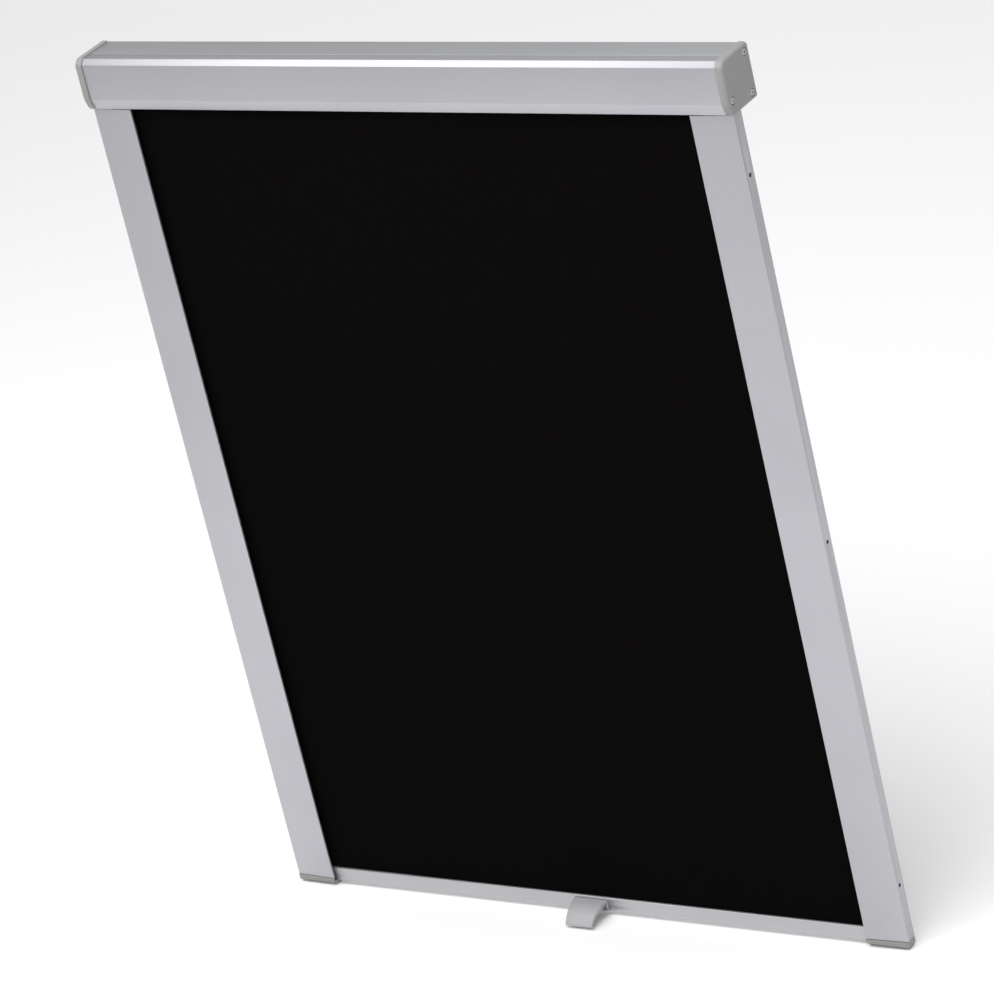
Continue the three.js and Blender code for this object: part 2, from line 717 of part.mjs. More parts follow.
// The spindle stays still: its flat end sits in the slot of the right end cap.
const spindleOuter = capInner + capBlindDepth - runningGap;
const spindleInner = spindleOuter - spindleLength;
function spindle() {
  const body = manifold(rodAcross(spindleRadius, spindleInner, spindleOuter, rollerFront, 0));
  const flatFrom = capInner - capBossLength - seat;
  return cut(body, ...[-1, 1].map((way) => {
    const near = rollerFront + way * spindleFlat / 2;
    const far = rollerFront + way * (spindleRadius + cutOverrun);
    return blockAcross(rectangle(Math.min(near, far), Math.max(near, far),
      -spindleRadius - cutOverrun, spindleRadius + cutOverrun), flatFrom, spindleOuter + cutOverrun);
  }));
}
place('spring_spindle', spindle(), finish.steel);

const springEnd = tubeHalfLength - plugLength - springWire / 2 - seat;
const springStart = springEnd - springPitch * springTurns;
place('torsion_spring', coil('torsion_spring', {
  radius: springRadius, wire: springWire, pitch: springPitch, turns: springTurns,
  x: springStart, front: rollerFront, up: 0, steps: springStepsPerTurn, sides: springSides,
}), finish.steel);

const anchorFace = springStart - springWire / 2 - seat;
function springAnchor() {
  const body = joined(
    rodAcross(anchorRadius, anchorFace - anchorFlange, anchorFace, rollerFront, 0, roundSides),
    rodAcross(springHubRadius, anchorFace - anchorFlange, anchorFace + springHubLength,
      rollerFront, 0));
  return cut(body, rodAcross(spindleRadius + runningGap, anchorFace - anchorFlange - cutOverrun,
    anchorFace + springHubLength + cutOverrun, rollerFront, 0));
}
place('spring_anchor', springAnchor(), finish.darkPlastic);

// Blackout cloth, from the front of the roll down into the bar
const clothBack = clothFront - clothThickness / 2;
const keyCentreUp = barTop - barKeyRoof - barKeyRadius;
const clothFoot = keyCentreUp + barKeyRadius - splineGap + seat;
place('blackout_cloth', upBlind(rectangle(-clothHalfWidth, clothHalfWidth, clothBack,
  clothBack + clothThickness), clothFoot, 0), finish.cloth);

// Side rails

// Distances across a rail are taken inwards from its outer side.
function railX(side, inwards) {
  return side * (halfWidth - inwards);
}

function railFaceAt(inwards) {
  return railFaceOuter + railTilt * inwards / railWidth;
}

const railWeb = railWidth - channelDepth - railWebWall;
const railPort = [railWeb - railPortRadius + railPortSink, channelFloor + railPortRadius - railPortSink];

function sideRail(side) {
  const at = (points) => points.map(([inwards, front]) => [railX(side, inwards), front]);
  const whole = (points) => upBlind(at(points), railFoot, railTop);
  const face = [[0, railFaceAt(0)], [railWidth, railFaceAt(railWidth)],
    [railWidth, railFaceAt(railWidth) - railFaceWall], [0, railFaceAt(0) - railFaceWall]];
  const bead = rounded(rectangle(railWidth - lipBeadWidth, railWidth,
    railFaceAt(railWidth) - lipBeadHeight, railFaceAt(railWidth) - lipBeadSink), lipBeadCorner);
  const outerWall = rectangle(0, railSideWall, railBack, railFaceAt(0) - railFaceWall / 2);
  const backWall = rectangle(0, railWidth - railBackSetback, railBack, channelFloor);
  const web = rectangle(railWeb, railWeb + railWebWall, railBack + railBackWall / 2,
    railFaceAt(railWeb) - railFaceWall / 2);
  let body = joined(whole(face), whole(bead), whole(outerWall), whole(backWall), whole(web),
    whole(circle(...railPort, railPortRadius)));
  const end = cutOverrun;
  body = cut(body, upBlind(at(circle(...railPort, smallScrewBore)), railFoot - end, railTop + end));
  const spread = (railTop - railFoot - 2 * railHoleMargin) / (railHoleCount - 1);
  for (let i = 0; i < railHoleCount; i += 1) {
    const up = railFoot + railHoleMargin + spread * i;
    const front = (channelFloor + railFaceAt(railWeb) - railFaceWall) / 2;
    body = cut(body,
      rodAcross(railHoleRadius, railX(side, -cutOverrun), railX(side, railSideWall + cutOverrun),
        front, up),
      rodAcross(railDriverHoleRadius, railX(side, railWeb - railWebWall),
        railX(side, railWeb + railWebWall + cutOverrun), front, up));
  }
  return body;
}

// The stub that fills the rail's outer chamber at either end.
function railPlug(side, z0, z1) {
  const front0 = channelFloor + seat;
  const front1 = railFaceAt(0) - railFaceWall - seat;
  const inwards0 = railSideWall + seat;
  const inwards1 = railPort[0] - railPortRadius - plugToPort;
  const block = (grow) => [
    [railX(side, inwards0 + grow), front0 + grow], [railX(side, inwards1 - grow), front0 + grow],
    [railX(side, inwards1 - grow), front1 - grow], [railX(side, inwards0 + grow), front1 - grow],
  ];
  return { outer: upBlind(block(0), z0, z1), hollow: (a, b) => upBlind(block(plugWall), a, b) };
}

// Moulded foot: closes the rail, carries the bar's glide on its floor when the blind is down.
function railFootCap(side) {
  const x = (inwards) => railX(side, inwards);
  const front = rounded([[x(0), footBottom], [x(railWidth), footBottom], [x(railWidth), footTop],
    [x(0), footTop]], [footCorner, footInnerCorner, 0, 0]);
  const depth = railFaceAt(railWidth) + footProud;
  let body = manifold(throughBlind(front, railBack, depth));
  const slope = [[x(-cutOverrun), railFaceAt(-cutOverrun) + footProud],
    [x(railWidth + cutOverrun), railFaceAt(railWidth + cutOverrun) + footProud],
    [x(railWidth + cutOverrun), depth + footDepthMargin], [x(-cutOverrun), depth + footDepthMargin]];
  const below = footBottom - cutOverrun;
  const above = footTop + cutOverrun;
  const pocketFront = railFaceAt(railWidth - channelDepth) - railFaceWall;
  const pocket = [[x(railWidth - channelDepth), channelFloor], [x(railWidth + cutOverrun), channelFloor],
    [x(railWidth + cutOverrun), pocketFront + railTilt * channelDepth / railWidth],
    [x(railWidth - channelDepth), pocketFront]];
  body = cut(body, upBlind(slope, below, above), upBlind(pocket, footBottom + footFloor, above));
  const bevelled = railFaceAt(0) + footProud - footBevel;
  body = cut(body, acrossBlind([[bevelled - cutOverrun, footBottom - cutOverrun],
    [depth + cutOverrun, footBottom - cutOverrun],
    [depth + cutOverrun, footBottom + depth + cutOverrun - bevelled]],
  -halfWidth - cutOverrun, halfWidth + cutOverrun));
  const plug = railPlug(side, footTop - footFloor * plugRootShare, railFoot + plugInRail);
  body = body.add(manifold(plug.outer));
  body = cut(body, plug.hollow(footTop, railFoot + plugInRail + cutOverrun));
  const [inwards, portFront] = railPort;
  return cut(body, upBlind(circle(x(inwards), portFront, smallScrewBore), below, above),
    upBlind(circle(x(inwards), portFront, smallScrewHeadRadius + runningGap), below,
      footBottom + smallScrewHeadHeight + seat));
}

// Tongue that lines the rail up with the head box: a stub below, a blade beside the end cap.
function railTongue(side) {
  const plug = railPlug(side, railTop - plugInRail, railTop);
  const bladeOuter = halfWidth - capInner + seat;
  const front0 = channelFloor + seat;
  const front1 = railFaceAt(0) - railFaceWall - seat;
  const blade = [[railX(side, bladeOuter), front0], [railX(side, bladeOuter + tongueThickness), front0],
    [railX(side, bladeOuter + tongueThickness), front1], [railX(side, bladeOuter), front1]];
  const body = joined(plug.outer,
    upBlind(blade, railTop - plugInRail * plugRootShare, railTop + tongueAbove));
  const [inwards, portFront] = railPort;
  const portRelief = upBlind(circle(railX(side, inwards), portFront, railPortRadius + seat),
    railTop - plugInRail - cutOverrun, railTop + seat);
  return cut(body, plug.hollow(railTop - plugInRail - cutOverrun, railTop - plugWall), portRelief);
}

// A pan head screw driven up into the rail's port from below.
function railScrew(side) {
  const [inwards, front] = railPort;
  const screw = panScrew(smallScrewRadius, footScrewLength, smallScrewHeadRadius,
    smallScrewHeadHeight);
  screw.rotateX(Math.PI / 2);
  screw.translate(railX(side, inwards), -front, footBottom + smallScrewHeadHeight);
  return screw;
}

sidesOfBlind.forEach(([name, side]) => {
  place(`side_rail_${name}`, sideRail(side), finish.aluminium);
  place(`rail_foot_${name}`, railFootCap(side), finish.greyPlastic);
  place(`rail_foot_screw_${name}`, railScrew(side), finish.steel);
  place(`rail_tongue_${name}`, railTongue(side), finish.darkPlastic);
});

// Bottom bar

const barChamber = {
  back: barBack + barWall,
  front: barFront - barWall,
  bottom: barBottom + barWall,
  top: keyCentreUp - barKeyRadius - barWall,
};
const handleScrewUp = (barChamber.top + barChamber.bottom) / 2;

function bottomBar() {
  const half = barHalfLength;
  const end = half + cutOverrun;
  const outline = rounded(rectangle(barBack, barFront, barBottom, barTop), barCorner);
  const mouth = rectangle(clothFront - barKeyMouth / 2, clothFront + barKeyMouth / 2,
    keyCentreUp, barTop + cutOverrun);
  const chamber = rectangle(barChamber.back, barChamber.front, barChamber.bottom, barChamber.top);
  const holes = [-1, 1].map((way) => throughBlind(
    circle(way * handleScrewSpacing / 2, handleScrewUp, smallScrewBore),
    barBack - cutOverrun, barFront + cutOverrun));
  return cut(manifold(acrossBlind(outline, -half, half)), acrossBlind(mouth, -end, end),
    rodAcross(barKeyRadius, -end, end, clothFront, keyCentreUp), acrossBlind(chamber, -end, end),
    ...holes);
}
place('bottom_bar', bottomBar(), finish.aluminium);
place('bar_spline', rodAcross(barKeyRadius - splineGap, -clothHalfWidth, clothHalfWidth,
  clothFront, keyCentreUp), finish.whitePlastic);

// Handle: a wedge root on the bar's face, and a lip that curves down for the fingers.
// Each point is (share of the reach, share of the root's height measured down).
const handleTopShares = [[0, 0], [0.3, 0.01], [0.5, 0.14], [0.65, 0.29], [0.78, 0.5], [0.9, 0.76],
  [0.985, 1.02]];
const handleUnderShares = [[0.965, 1.18], [0.84, 0.91], [0.68, 0.65], [0.5, 0.49], [0.36, 0.47],
  [0.22, 0.75], [0, 1]];
const handleHollowShares = [[0.04, 0.13], [0.33, 0.4], [0.2, 0.66], [0.04, 0.88]];

function handle() {
  const root = barFront + seat;
  const top = barTop - handleTopInset;
  const measured = ([out, down]) => [root + handleReach * out, top - handleRootHeight * down];
  const outline = [...handleTopShares, ...handleUnderShares].map(measured);
  const geometry = acrossBlind(outline, -1, 1);
  const position = geometry.getAttribute('position');
  for (let i = 0; i < position.count; i += 1) {
    const out = (-position.getY(i) - root) / handleReach;
    const width = handleRootWidth + (handleTipWidth - handleRootWidth) * out;
    position.setX(i, position.getX(i) * width / 2);
  }
  const holes = [-1, 1].map((way) => throughBlind(
    circle(way * handleScrewSpacing / 2, handleScrewUp, smallScrewBore), root - cutOverrun,
    root + handleScrewDepth));
  const hollowFloor = handleRootWidth / 2 - handleHollowDepth;
  const hollows = [-1, 1].map((way) => blockAcross(handleHollowShares.map(measured),
    way * hollowFloor, way * (handleRootWidth / 2 + cutOverrun)));
  return cut(manifold(geometry), ...holes, ...hollows);
}
place('handle', handle(), finish.greyPlastic);

// Screws that come through the bar from behind into the handle's root.
sidesOfBlind.forEach(([name, side]) => {
  const screw = panScrew(smallScrewRadius, barDepth + handleScrewDepth, smallScrewHeadRadius,
    smallScrewHeadHeight);
  screw.rotateX(Math.PI);
  screw.translate(side * handleScrewSpacing / 2, -(barBack - seat), handleScrewUp);
  place(`handle_screw_${name}`, screw, finish.steel);
});

// Glides, each with a sprung brake shoe that rubs on the rail's web

const glideInner = barHalfLength + seat;
const glideOuter = glideInner + glideLength;
const shoeFront = (glideBack + glideFront) / 2;
const shoeUp = barBottom + glideHeight / 2;
const shoeOuter = webFace - seat;
const shoeInner = shoeOuter - shoeLength;
const shoeSpringEnd = shoeInner + shoeBore - shoeStroke - seat;
const shoeSpringStart = shoeSpringEnd - shoeSpringLength;
const shoeSpringOuterRadius = shoeSpringRadius + shoeSpringWire / 2;

function glide(side) {
  const head = rounded(rectangle(glideBack, glideFront, barBottom, barBottom + glideHeight), glideCorner);
  const spigot = rectangle(barChamber.back + seat, barChamber.front - seat,
    barChamber.bottom + seat, barChamber.top - seat);
  const pocket = rectangle(shoeFront - shoeDepth / 2 - runningGap, shoeFront + shoeDepth / 2 + runningGap,
    shoeUp - shoeHeight / 2 - runningGap, shoeUp + shoeHeight / 2 + runningGap);
  const body = joined(blockAcross(head, side * glideInner, side * glideOuter),
    blockAcross(spigot, side * (glideInner - glideSpigot), side * (glideInner + glideLength / 2)));
  return cut(body, blockAcross(pocket, side * (shoeInner - shoeStroke - seat),
    side * (glideOuter + cutOverrun)),
  rodAcross(shoeSpringOuterRadius + runningGap, side * (shoeSpringStart - seat),
    side * glideOuter, shoeFront, shoeUp));
}

function brakeShoe(side) {
  const outline = rounded(rectangle(shoeFront - shoeDepth / 2, shoeFront + shoeDepth / 2,
    shoeUp - shoeHeight / 2, shoeUp + shoeHeight / 2), shoeCorner);
  return cut(manifold(blockAcross(outline, side * shoeInner, side * shoeOuter)),
    rodAcross(shoeSpringOuterRadius + runningGap, side * (shoeInner - cutOverrun),
      side * (shoeInner + shoeBore), shoeFront, shoeUp));
}

sidesOfBlind.forEach(([name, side]) => {
  const pitch = (shoeSpringLength - shoeSpringWire) / shoeSpringTurns;
  const low = Math.min(side * shoeSpringStart, side * shoeSpringEnd) + shoeSpringWire / 2;
  place(`bar_glide_${name}`, glide(side), finish.darkPlastic);
  place(`brake_shoe_${name}`, brakeShoe(side), finish.felt);
  place(`brake_spring_${name}`, coil(`brake_spring_${name}`, {
    radius: shoeSpringRadius, wire: shoeSpringWire, pitch, turns: shoeSpringTurns,
    x: low, front: shoeFront, up: shoeUp, steps: springStepsPerTurn, sides: springSides,
  }), finish.steel);
});

export default blind;
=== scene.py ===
"""Cassette roller blind for a roof window: the looks of every piece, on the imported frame.

Metres. X runs across the blind, Z up along it, and the room is towards -Y.
The sections follow the blind as it is put together.
"""

import json
import math

import bmesh
import bpy
from mathutils import Matrix, Quaternion, Vector

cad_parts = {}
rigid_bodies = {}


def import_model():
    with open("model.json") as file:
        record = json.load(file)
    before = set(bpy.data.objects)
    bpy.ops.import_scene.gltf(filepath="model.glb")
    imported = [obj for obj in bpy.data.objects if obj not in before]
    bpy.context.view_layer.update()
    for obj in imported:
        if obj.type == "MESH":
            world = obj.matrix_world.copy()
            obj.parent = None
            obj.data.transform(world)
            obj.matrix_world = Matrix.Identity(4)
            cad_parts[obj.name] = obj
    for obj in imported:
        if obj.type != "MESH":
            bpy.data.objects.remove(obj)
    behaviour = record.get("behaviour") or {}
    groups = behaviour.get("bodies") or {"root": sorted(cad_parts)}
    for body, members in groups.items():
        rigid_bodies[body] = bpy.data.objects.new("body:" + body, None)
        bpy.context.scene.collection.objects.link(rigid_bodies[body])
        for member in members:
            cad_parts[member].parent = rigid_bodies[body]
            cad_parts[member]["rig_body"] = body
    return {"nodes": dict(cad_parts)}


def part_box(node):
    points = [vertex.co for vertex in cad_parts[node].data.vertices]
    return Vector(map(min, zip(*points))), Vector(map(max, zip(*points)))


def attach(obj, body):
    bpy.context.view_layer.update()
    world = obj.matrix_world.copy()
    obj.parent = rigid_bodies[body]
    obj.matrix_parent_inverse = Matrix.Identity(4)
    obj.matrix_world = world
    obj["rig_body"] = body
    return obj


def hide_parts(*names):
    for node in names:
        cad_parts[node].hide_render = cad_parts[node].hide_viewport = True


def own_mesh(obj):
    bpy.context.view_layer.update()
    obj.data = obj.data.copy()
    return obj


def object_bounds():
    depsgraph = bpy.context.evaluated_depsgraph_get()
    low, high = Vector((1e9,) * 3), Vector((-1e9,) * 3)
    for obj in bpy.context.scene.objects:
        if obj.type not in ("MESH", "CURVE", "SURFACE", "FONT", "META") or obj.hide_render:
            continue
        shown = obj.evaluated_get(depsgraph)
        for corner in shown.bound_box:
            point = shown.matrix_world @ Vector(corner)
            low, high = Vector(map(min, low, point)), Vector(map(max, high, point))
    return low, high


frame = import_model()
cad = frame["nodes"]
cad_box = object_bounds()
scene = bpy.context.scene


# The view of the photograph: a long lens, from the room, to the right of the blind and
# above it, rolled a little to the left. The place and the turn come from the edges of the
# rails and the head box in the photograph.
VIEW_PLACE = Vector((2.5466, -3.4529, 1.4968))
VIEW_RIGHT = Vector((0.83727, 0.50349, -0.21327))
VIEW_UP = Vector((-0.05122, 0.46053, 0.88617))
VIEW_LENS = 178.6
VIEW_SENSOR = 36.0
VIEW_FAR = 60.0

view = bpy.data.objects.new("photo_view", bpy.data.cameras.new("photo_view"))
view.data.lens = VIEW_LENS
view.data.sensor_width = VIEW_SENSOR
view.data.clip_end = VIEW_FAR
back = VIEW_RIGHT.cross(VIEW_UP).normalized()
view.matrix_world = Matrix.Translation(VIEW_PLACE) @ Matrix(
    (VIEW_RIGHT, VIEW_UP, back)).transposed().to_4x4()
scene.collection.objects.link(view)
scene.camera = view


# The studio: a pale floor under the rails' feet and a pale surround, dimmer at both sides. One
# soft light on the left runs along the box's upper edge, and one brightens the floor in front.
FLOOR_SIZE = 30.0
FLOOR_COLOUR = "#fafafa"
FLOOR_ROUGHNESS = 0.9
SURROUND_COLOUR = "#fafafb"
SURROUND_STRENGTH = 0.91
DIM_SIDES = (((0.92, -0.1, -0.38), 0.3), ((-0.97, 0.25, 0.0), 0.6))   # way, share of light
DIM_FROM = 0.2                        # cosines between which the dimming grows
DIM_FULL = 0.9
EDGE_LIGHT = (2.6, 1.3, 26.5)         # metres across, metres high, watts
EDGE_LIGHT_PLACE = (-1.14, -0.875, 1.93)
EDGE_LIGHT_TARGET = (0, 0, 0)
EDGE_LIGHT_ROLL = 45                  # degrees: its length follows the edge's mirror image
FLOOR_LIGHT = (1.8, 1.8, 30.0)
FLOOR_LIGHT_PLACE = (0.4, -1.0, 1.3)
FLOOR_LIGHT_TARGET = (-0.1, -0.6, -0.9)


def linear(code):
    """The linear red, green, blue and alpha of an sRGB hex colour."""
    channels = [int(code[i:i + 2], 16) / 255 for i in (1, 3, 5)]
    return [c / 12.92 if c <= 0.04045 else ((c + 0.055) / 1.055) ** 2.4
            for c in channels] + [1.0]


def node(tree, kind, inputs=None, **settings):
    """Adds a node, with its settings, its plain values and its links from other nodes."""
    made = tree.nodes.new(kind)
    for name, value in settings.items():
        setattr(made, name, value)
    for key, value in (inputs or {}).items():
        several = value if isinstance(value, list) else [value]
        if isinstance(several[0], bpy.types.NodeSocket):
            for source in several:
                tree.links.new(source, made.inputs[key])
        else:
            made.inputs[key].default_value = value
    return made


def material(name, **constants):
    """A new material. The constants go on its shader's own sockets."""
    made = bpy.data.materials.new(name)
    made.use_nodes = True
    shader = made.node_tree.nodes["Principled BSDF"]
    for socket, value in constants.items():
        shader.inputs[socket.replace("_", " ")].default_value = value
    return made, made.node_tree, shader


def soft_light(name, place, size, target, roll, mirrored):
    """A soft rectangular light that looks at a point. mirrored says whether it shows in gloss."""
    lamp = bpy.data.objects.new(name, bpy.data.lights.new(name, "AREA"))
    lamp.data.shape = "RECTANGLE"
    lamp.data.size, lamp.data.size_y, lamp.data.energy = size
    lamp.location = place
    aim = (Vector(target) - Vector(place)).to_track_quat("-Z", "Y")
    lamp.rotation_euler = (aim @ Quaternion((0, 0, 1), math.radians(roll))).to_euler()
    lamp.visible_camera = False
    lamp.visible_glossy = mirrored
    scene.collection.objects.link(lamp)


# Matt white board: even and pale, with a soft shadow and no reflection of the blind.
floor_matte, tree, shader = material("matte_white_floor", Roughness=FLOOR_ROUGHNESS)
shader.inputs["Base Color"].default_value = linear(FLOOR_COLOUR)
floor_mesh = bpy.data.meshes.new("floor")
half = FLOOR_SIZE / 2
low = cad_box[0][2]
floor_mesh.from_pydata([(x * half, y * half, low) for x, y in ((-1, -1), (1, -1), (1, 1), (-1, 1))],
                       [], [(0, 1, 2, 3)])
floor_mesh.materials.append(floor_matte)
floor = bpy.data.objects.new("floor", floor_mesh)
scene.collection.objects.link(floor)

scene.world = bpy.data.worlds.new("surround")
scene.world.use_nodes = True
tree = scene.world.node_tree
way = node(tree, "ShaderNodeTexCoord").outputs["Generated"]
dimmed = []
for side, share in DIM_SIDES:
    facing = node(tree, "ShaderNodeVectorMath", {0: way, 1: side}, operation="DOT_PRODUCT")
    dimmed.append(node(tree, "ShaderNodeMapRange", {
        "Value": facing.outputs["Value"], "From Min": DIM_FROM, "From Max": DIM_FULL,
        "To Min": 1.0, "To Max": share}, interpolation_type="SMOOTHSTEP").outputs[0])
both = node(tree, "ShaderNodeMath", {0: dimmed[0], 1: dimmed[1]}, operation="MULTIPLY")
strength = node(tree, "ShaderNodeMath", {0: both.outputs[0], 1: SURROUND_STRENGTH},
                operation="MULTIPLY")
tree.nodes["Background"].inputs["Color"].default_value = linear(SURROUND_COLOUR)
tree.links.new(strength.outputs[0], tree.nodes["Background"].inputs["Strength"])
scene.view_settings.view_transform = "Standard"
soft_light("edge_softbox", EDGE_LIGHT_PLACE, EDGE_LIGHT, EDGE_LIGHT_TARGET, EDGE_LIGHT_ROLL, True)
soft_light("floor_softbox", FLOOR_LIGHT_PLACE, FLOOR_LIGHT, FLOOR_LIGHT_TARGET, 0, False)


# Back profile of the head box: extruded aluminium, left as it comes from the die. Its flat
# back lies on the window and is screwed to it. The cover hooks over its upper edge.
MILL_COLOURS = ("#c9cacb", "#b8b9bb")
DIE_LINE = 0.0009        # real die lines are about 0.2 mm apart; coarser here so that they show
DIE_LINE_LENGTH = 0.35
DIE_CLOUDS = 9.0         # soft clouds of tone in each metre
DIE_STRENGTH = 0.5
NOISE_LOW = 0.3          # most of a noise lies between these two
NOISE_HIGH = 0.7
MILL_ROUGHNESS = (0.34, 0.48)
MILL_DEPTH = 0.00004
BACK_EDGE = 0.0002
SHARP_TURN = 38          # degrees: an edge that turns more than this is eased
FLAT_TURN = 0.4
SAME_PLACE = 2e-6
NO_AREA = 1e-6


def extruded(tree, shader, along, colours, roughness, depth):
    """Die lines that run along a profile: thin bands of colour, gloss and height."""
    where = node(tree, "ShaderNodeTexCoord").outputs["Object"]
    rates = [1 / DIE_LINE_LENGTH if axis == along else 1 / DIE_LINE for axis in range(3)]
    lines = node(tree, "ShaderNodeMapping", {"Vector": where, "Scale": rates})
    grain = node(tree, "ShaderNodeTexNoise", {"Vector": lines.outputs[0], "Scale": 1.0,
                                              "Detail": 2.0})
    cloud = node(tree, "ShaderNodeTexNoise", {"Vector": where, "Scale": DIE_CLOUDS, "Detail": 1.0})
    mixed = node(tree, "ShaderNodeMix", {"Factor": 0.5, 2: grain.outputs[0], 3: cloud.outputs[0]})
    colour = node(tree, "ShaderNodeMix", {"Factor": mixed.outputs[0], 6: linear(colours[0]),
                                          7: linear(colours[1])}, data_type="RGBA")
    tree.links.new(colour.outputs[2], shader.inputs["Base Color"])
    gloss = node(tree, "ShaderNodeMapRange", {
        "Value": mixed.outputs[0], "From Min": NOISE_LOW, "From Max": NOISE_HIGH,
        "To Min": roughness[0], "To Max": roughness[1]})
    tree.links.new(gloss.outputs[0], shader.inputs["Roughness"])
    relief = node(tree, "ShaderNodeBump", {"Height": grain.outputs[0], "Distance": depth,
                                           "Strength": DIE_STRENGTH})
    tree.links.new(relief.outputs[0], shader.inputs["Normal"])


def eased(name, cad_node, width, turn=SHARP_TURN, rounder=None):
    """A CAD solid as one smooth mesh, with its sharp edges eased by a small bevel.

    rounder gives a width for the edges that are rounded more: it is asked for both their ends.
    """
    mesh = bmesh.new()
    mesh.from_mesh(cad[cad_node].data)
    bmesh.ops.remove_doubles(mesh, verts=mesh.verts, dist=SAME_PLACE)
    bmesh.ops.dissolve_limit(mesh, angle_limit=math.radians(FLAT_TURN), verts=mesh.verts,
                             edges=mesh.edges)

    def sharp():
        return [e for e in mesh.edges
                if e.is_manifold and e.calc_face_angle(0.0) > math.radians(turn)]

    def bevelled(edges, offset, segments):
        bmesh.ops.bevel(mesh, geom=edges, offset=offset, offset_type="OFFSET", segments=segments,
                        profile=0.5, affect="EDGES", clamp_overlap=True)

    more = [e for e in sharp() if rounder and rounder(e.verts[0].co) and rounder(e.verts[1].co)]
    if more:
        bevelled(more, rounder(more[0].verts[0].co), segments=4)
    bevelled(sharp(), width, segments=2)
    bmesh.ops.triangulate(mesh, faces=[f for f in mesh.faces if len(f.verts) > 4])
    bmesh.ops.dissolve_degenerate(mesh, dist=NO_AREA, edges=mesh.edges)
    for face in mesh.faces:
        face.smooth = True
    data = bpy.data.meshes.new(name)
    mesh.to_mesh(data)
    mesh.free()
    data.set_sharp_from_angle(angle=math.radians(turn))
    piece = bpy.data.objects.new(name, data)
    scene.collection.objects.link(piece)
    return piece


def fit(piece, finish, slot, *nodes):
    """Gives a piece its finish, and puts it in the place of its CAD nodes on their body."""
    if finish is not None:
        piece.data.materials.clear()
        piece.data.materials.append(finish)
    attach(piece, cad[nodes[0]]["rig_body"])
    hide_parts(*nodes)
    return piece


# Bare aluminium as it leaves the die: bright but not clear, drawn out in fine lines.
mill_along_x, tree, shader = material("mill_finish_aluminium_profile", Metallic=1.0)
extruded(tree, shader, 0, MILL_COLOURS, MILL_ROUGHNESS, MILL_DEPTH)
fit(eased("back_profile", "head_box_back", BACK_EDGE), mill_along_x, "head_box_back",
    "head_box_back")


# Cover of the head box: extruded aluminium with a satin silver-grey powder coating. It has a
# 45 degree edge above and turns back softly below, and one screw at each end holds it.
COVER_COLOURS = ("#b8b8bc", "#aeaeb3")
COVER_EDGE = 0.00025
COATING_GRAIN = 0.0012   # powder leaves a fine orange peel of about 0.5 mm; coarser here to show
COATING_DEPTH = 0.00004
COATING_STRENGTH = 0.4
COATING_CLOUDS = 5.0     # in each metre
COATING_ROUGHNESS = (0.36, 0.44)


def coated(tree, shader, colours, roughness):
    """The faint orange peel and the faint clouding of a satin powder coating."""
    where = node(tree, "ShaderNodeTexCoord").outputs["Object"]
    peel = node(tree, "ShaderNodeTexNoise", {"Vector": where, "Scale": 1 / COATING_GRAIN,
                                             "Detail": 1.0})
    cloud = node(tree, "ShaderNodeTexNoise", {"Vector": where, "Scale": COATING_CLOUDS,
                                              "Detail": 2.0})
    colour = node(tree, "ShaderNodeMix", {"Factor": cloud.outputs[0], 6: linear(colours[0]),
                                          7: linear(colours[1])}, data_type="RGBA")
    tree.links.new(colour.outputs[2], shader.inputs["Base Color"])
    gloss = node(tree, "ShaderNodeMapRange", {"Value": peel.outputs[0], "To Min": roughness[0],
                                              "To Max": roughness[1]})
    tree.links.new(gloss.outputs[0], shader.inputs["Roughness"])
    relief = node(tree, "ShaderNodeBump", {"Height": peel.outputs[0], "Distance": COATING_DEPTH,
                                           "Strength": COATING_STRENGTH})
    tree.links.new(relief.outputs[0], shader.inputs["Normal"])


# Silver pigment under a satin coat: even and softly bright, with broad blurred reflections.
silver_coating, tree, shader = material("satin_silver_powder_coating", Metallic=0.9)
coated(tree, shader, COVER_COLOURS, COATING_ROUGHNESS)
fit(eased("cover_profile", "head_box_cover", COVER_EDGE), silver_coating, "head_box_cover",
    "head_box_cover")


# End caps: moulded ABS in a warm grey, with a fine spark-eroded texture. Each closes the box,
# carries one end of the roller in its boss and is held by three screws.
CAP_COLOURS = ("#8a8988", "#828180")
CAP_EDGE = 0.0003
MOULD_TEXTURE = 0.0011   # the real texture is about 0.1 mm; coarser here so that it shows
MOULD_DEPTH = 0.00006
MOULD_STRENGTH = 0.6
MOULD_FLOW = 22.0        # soft patches of tone in each metre, from the flow in the mould
CAP_ROUGHNESS = (0.42, 0.52)


def moulded(tree, shader, colours, roughness):
    """The even, slightly pebbled skin of a moulded plastic."""
    where = node(tree, "ShaderNodeTexCoord").outputs["Object"]
    pebbles = node(tree, "ShaderNodeTexVoronoi", {"Vector": where, "Scale": 1 / MOULD_TEXTURE},
                   feature="SMOOTH_F1")
    flow = node(tree, "ShaderNodeTexNoise", {"Vector": where, "Scale": MOULD_FLOW, "Detail": 2.0})
    colour = node(tree, "ShaderNodeMix", {"Factor": flow.outputs[0], 6: linear(colours[0]),
                                          7: linear(colours[1])}, data_type="RGBA")
    tree.links.new(colour.outputs[2], shader.inputs["Base Color"])
    gloss = node(tree, "ShaderNodeMapRange", {"Value": flow.outputs[0], "To Min": roughness[0],
                                              "To Max": roughness[1]})
    tree.links.new(gloss.outputs[0], shader.inputs["Roughness"])
    relief = node(tree, "ShaderNodeBump", {"Height": pebbles.outputs[0], "Distance": MOULD_DEPTH,
                                           "Strength": MOULD_STRENGTH})
    tree.links.new(relief.outputs[0], shader.inputs["Normal"])


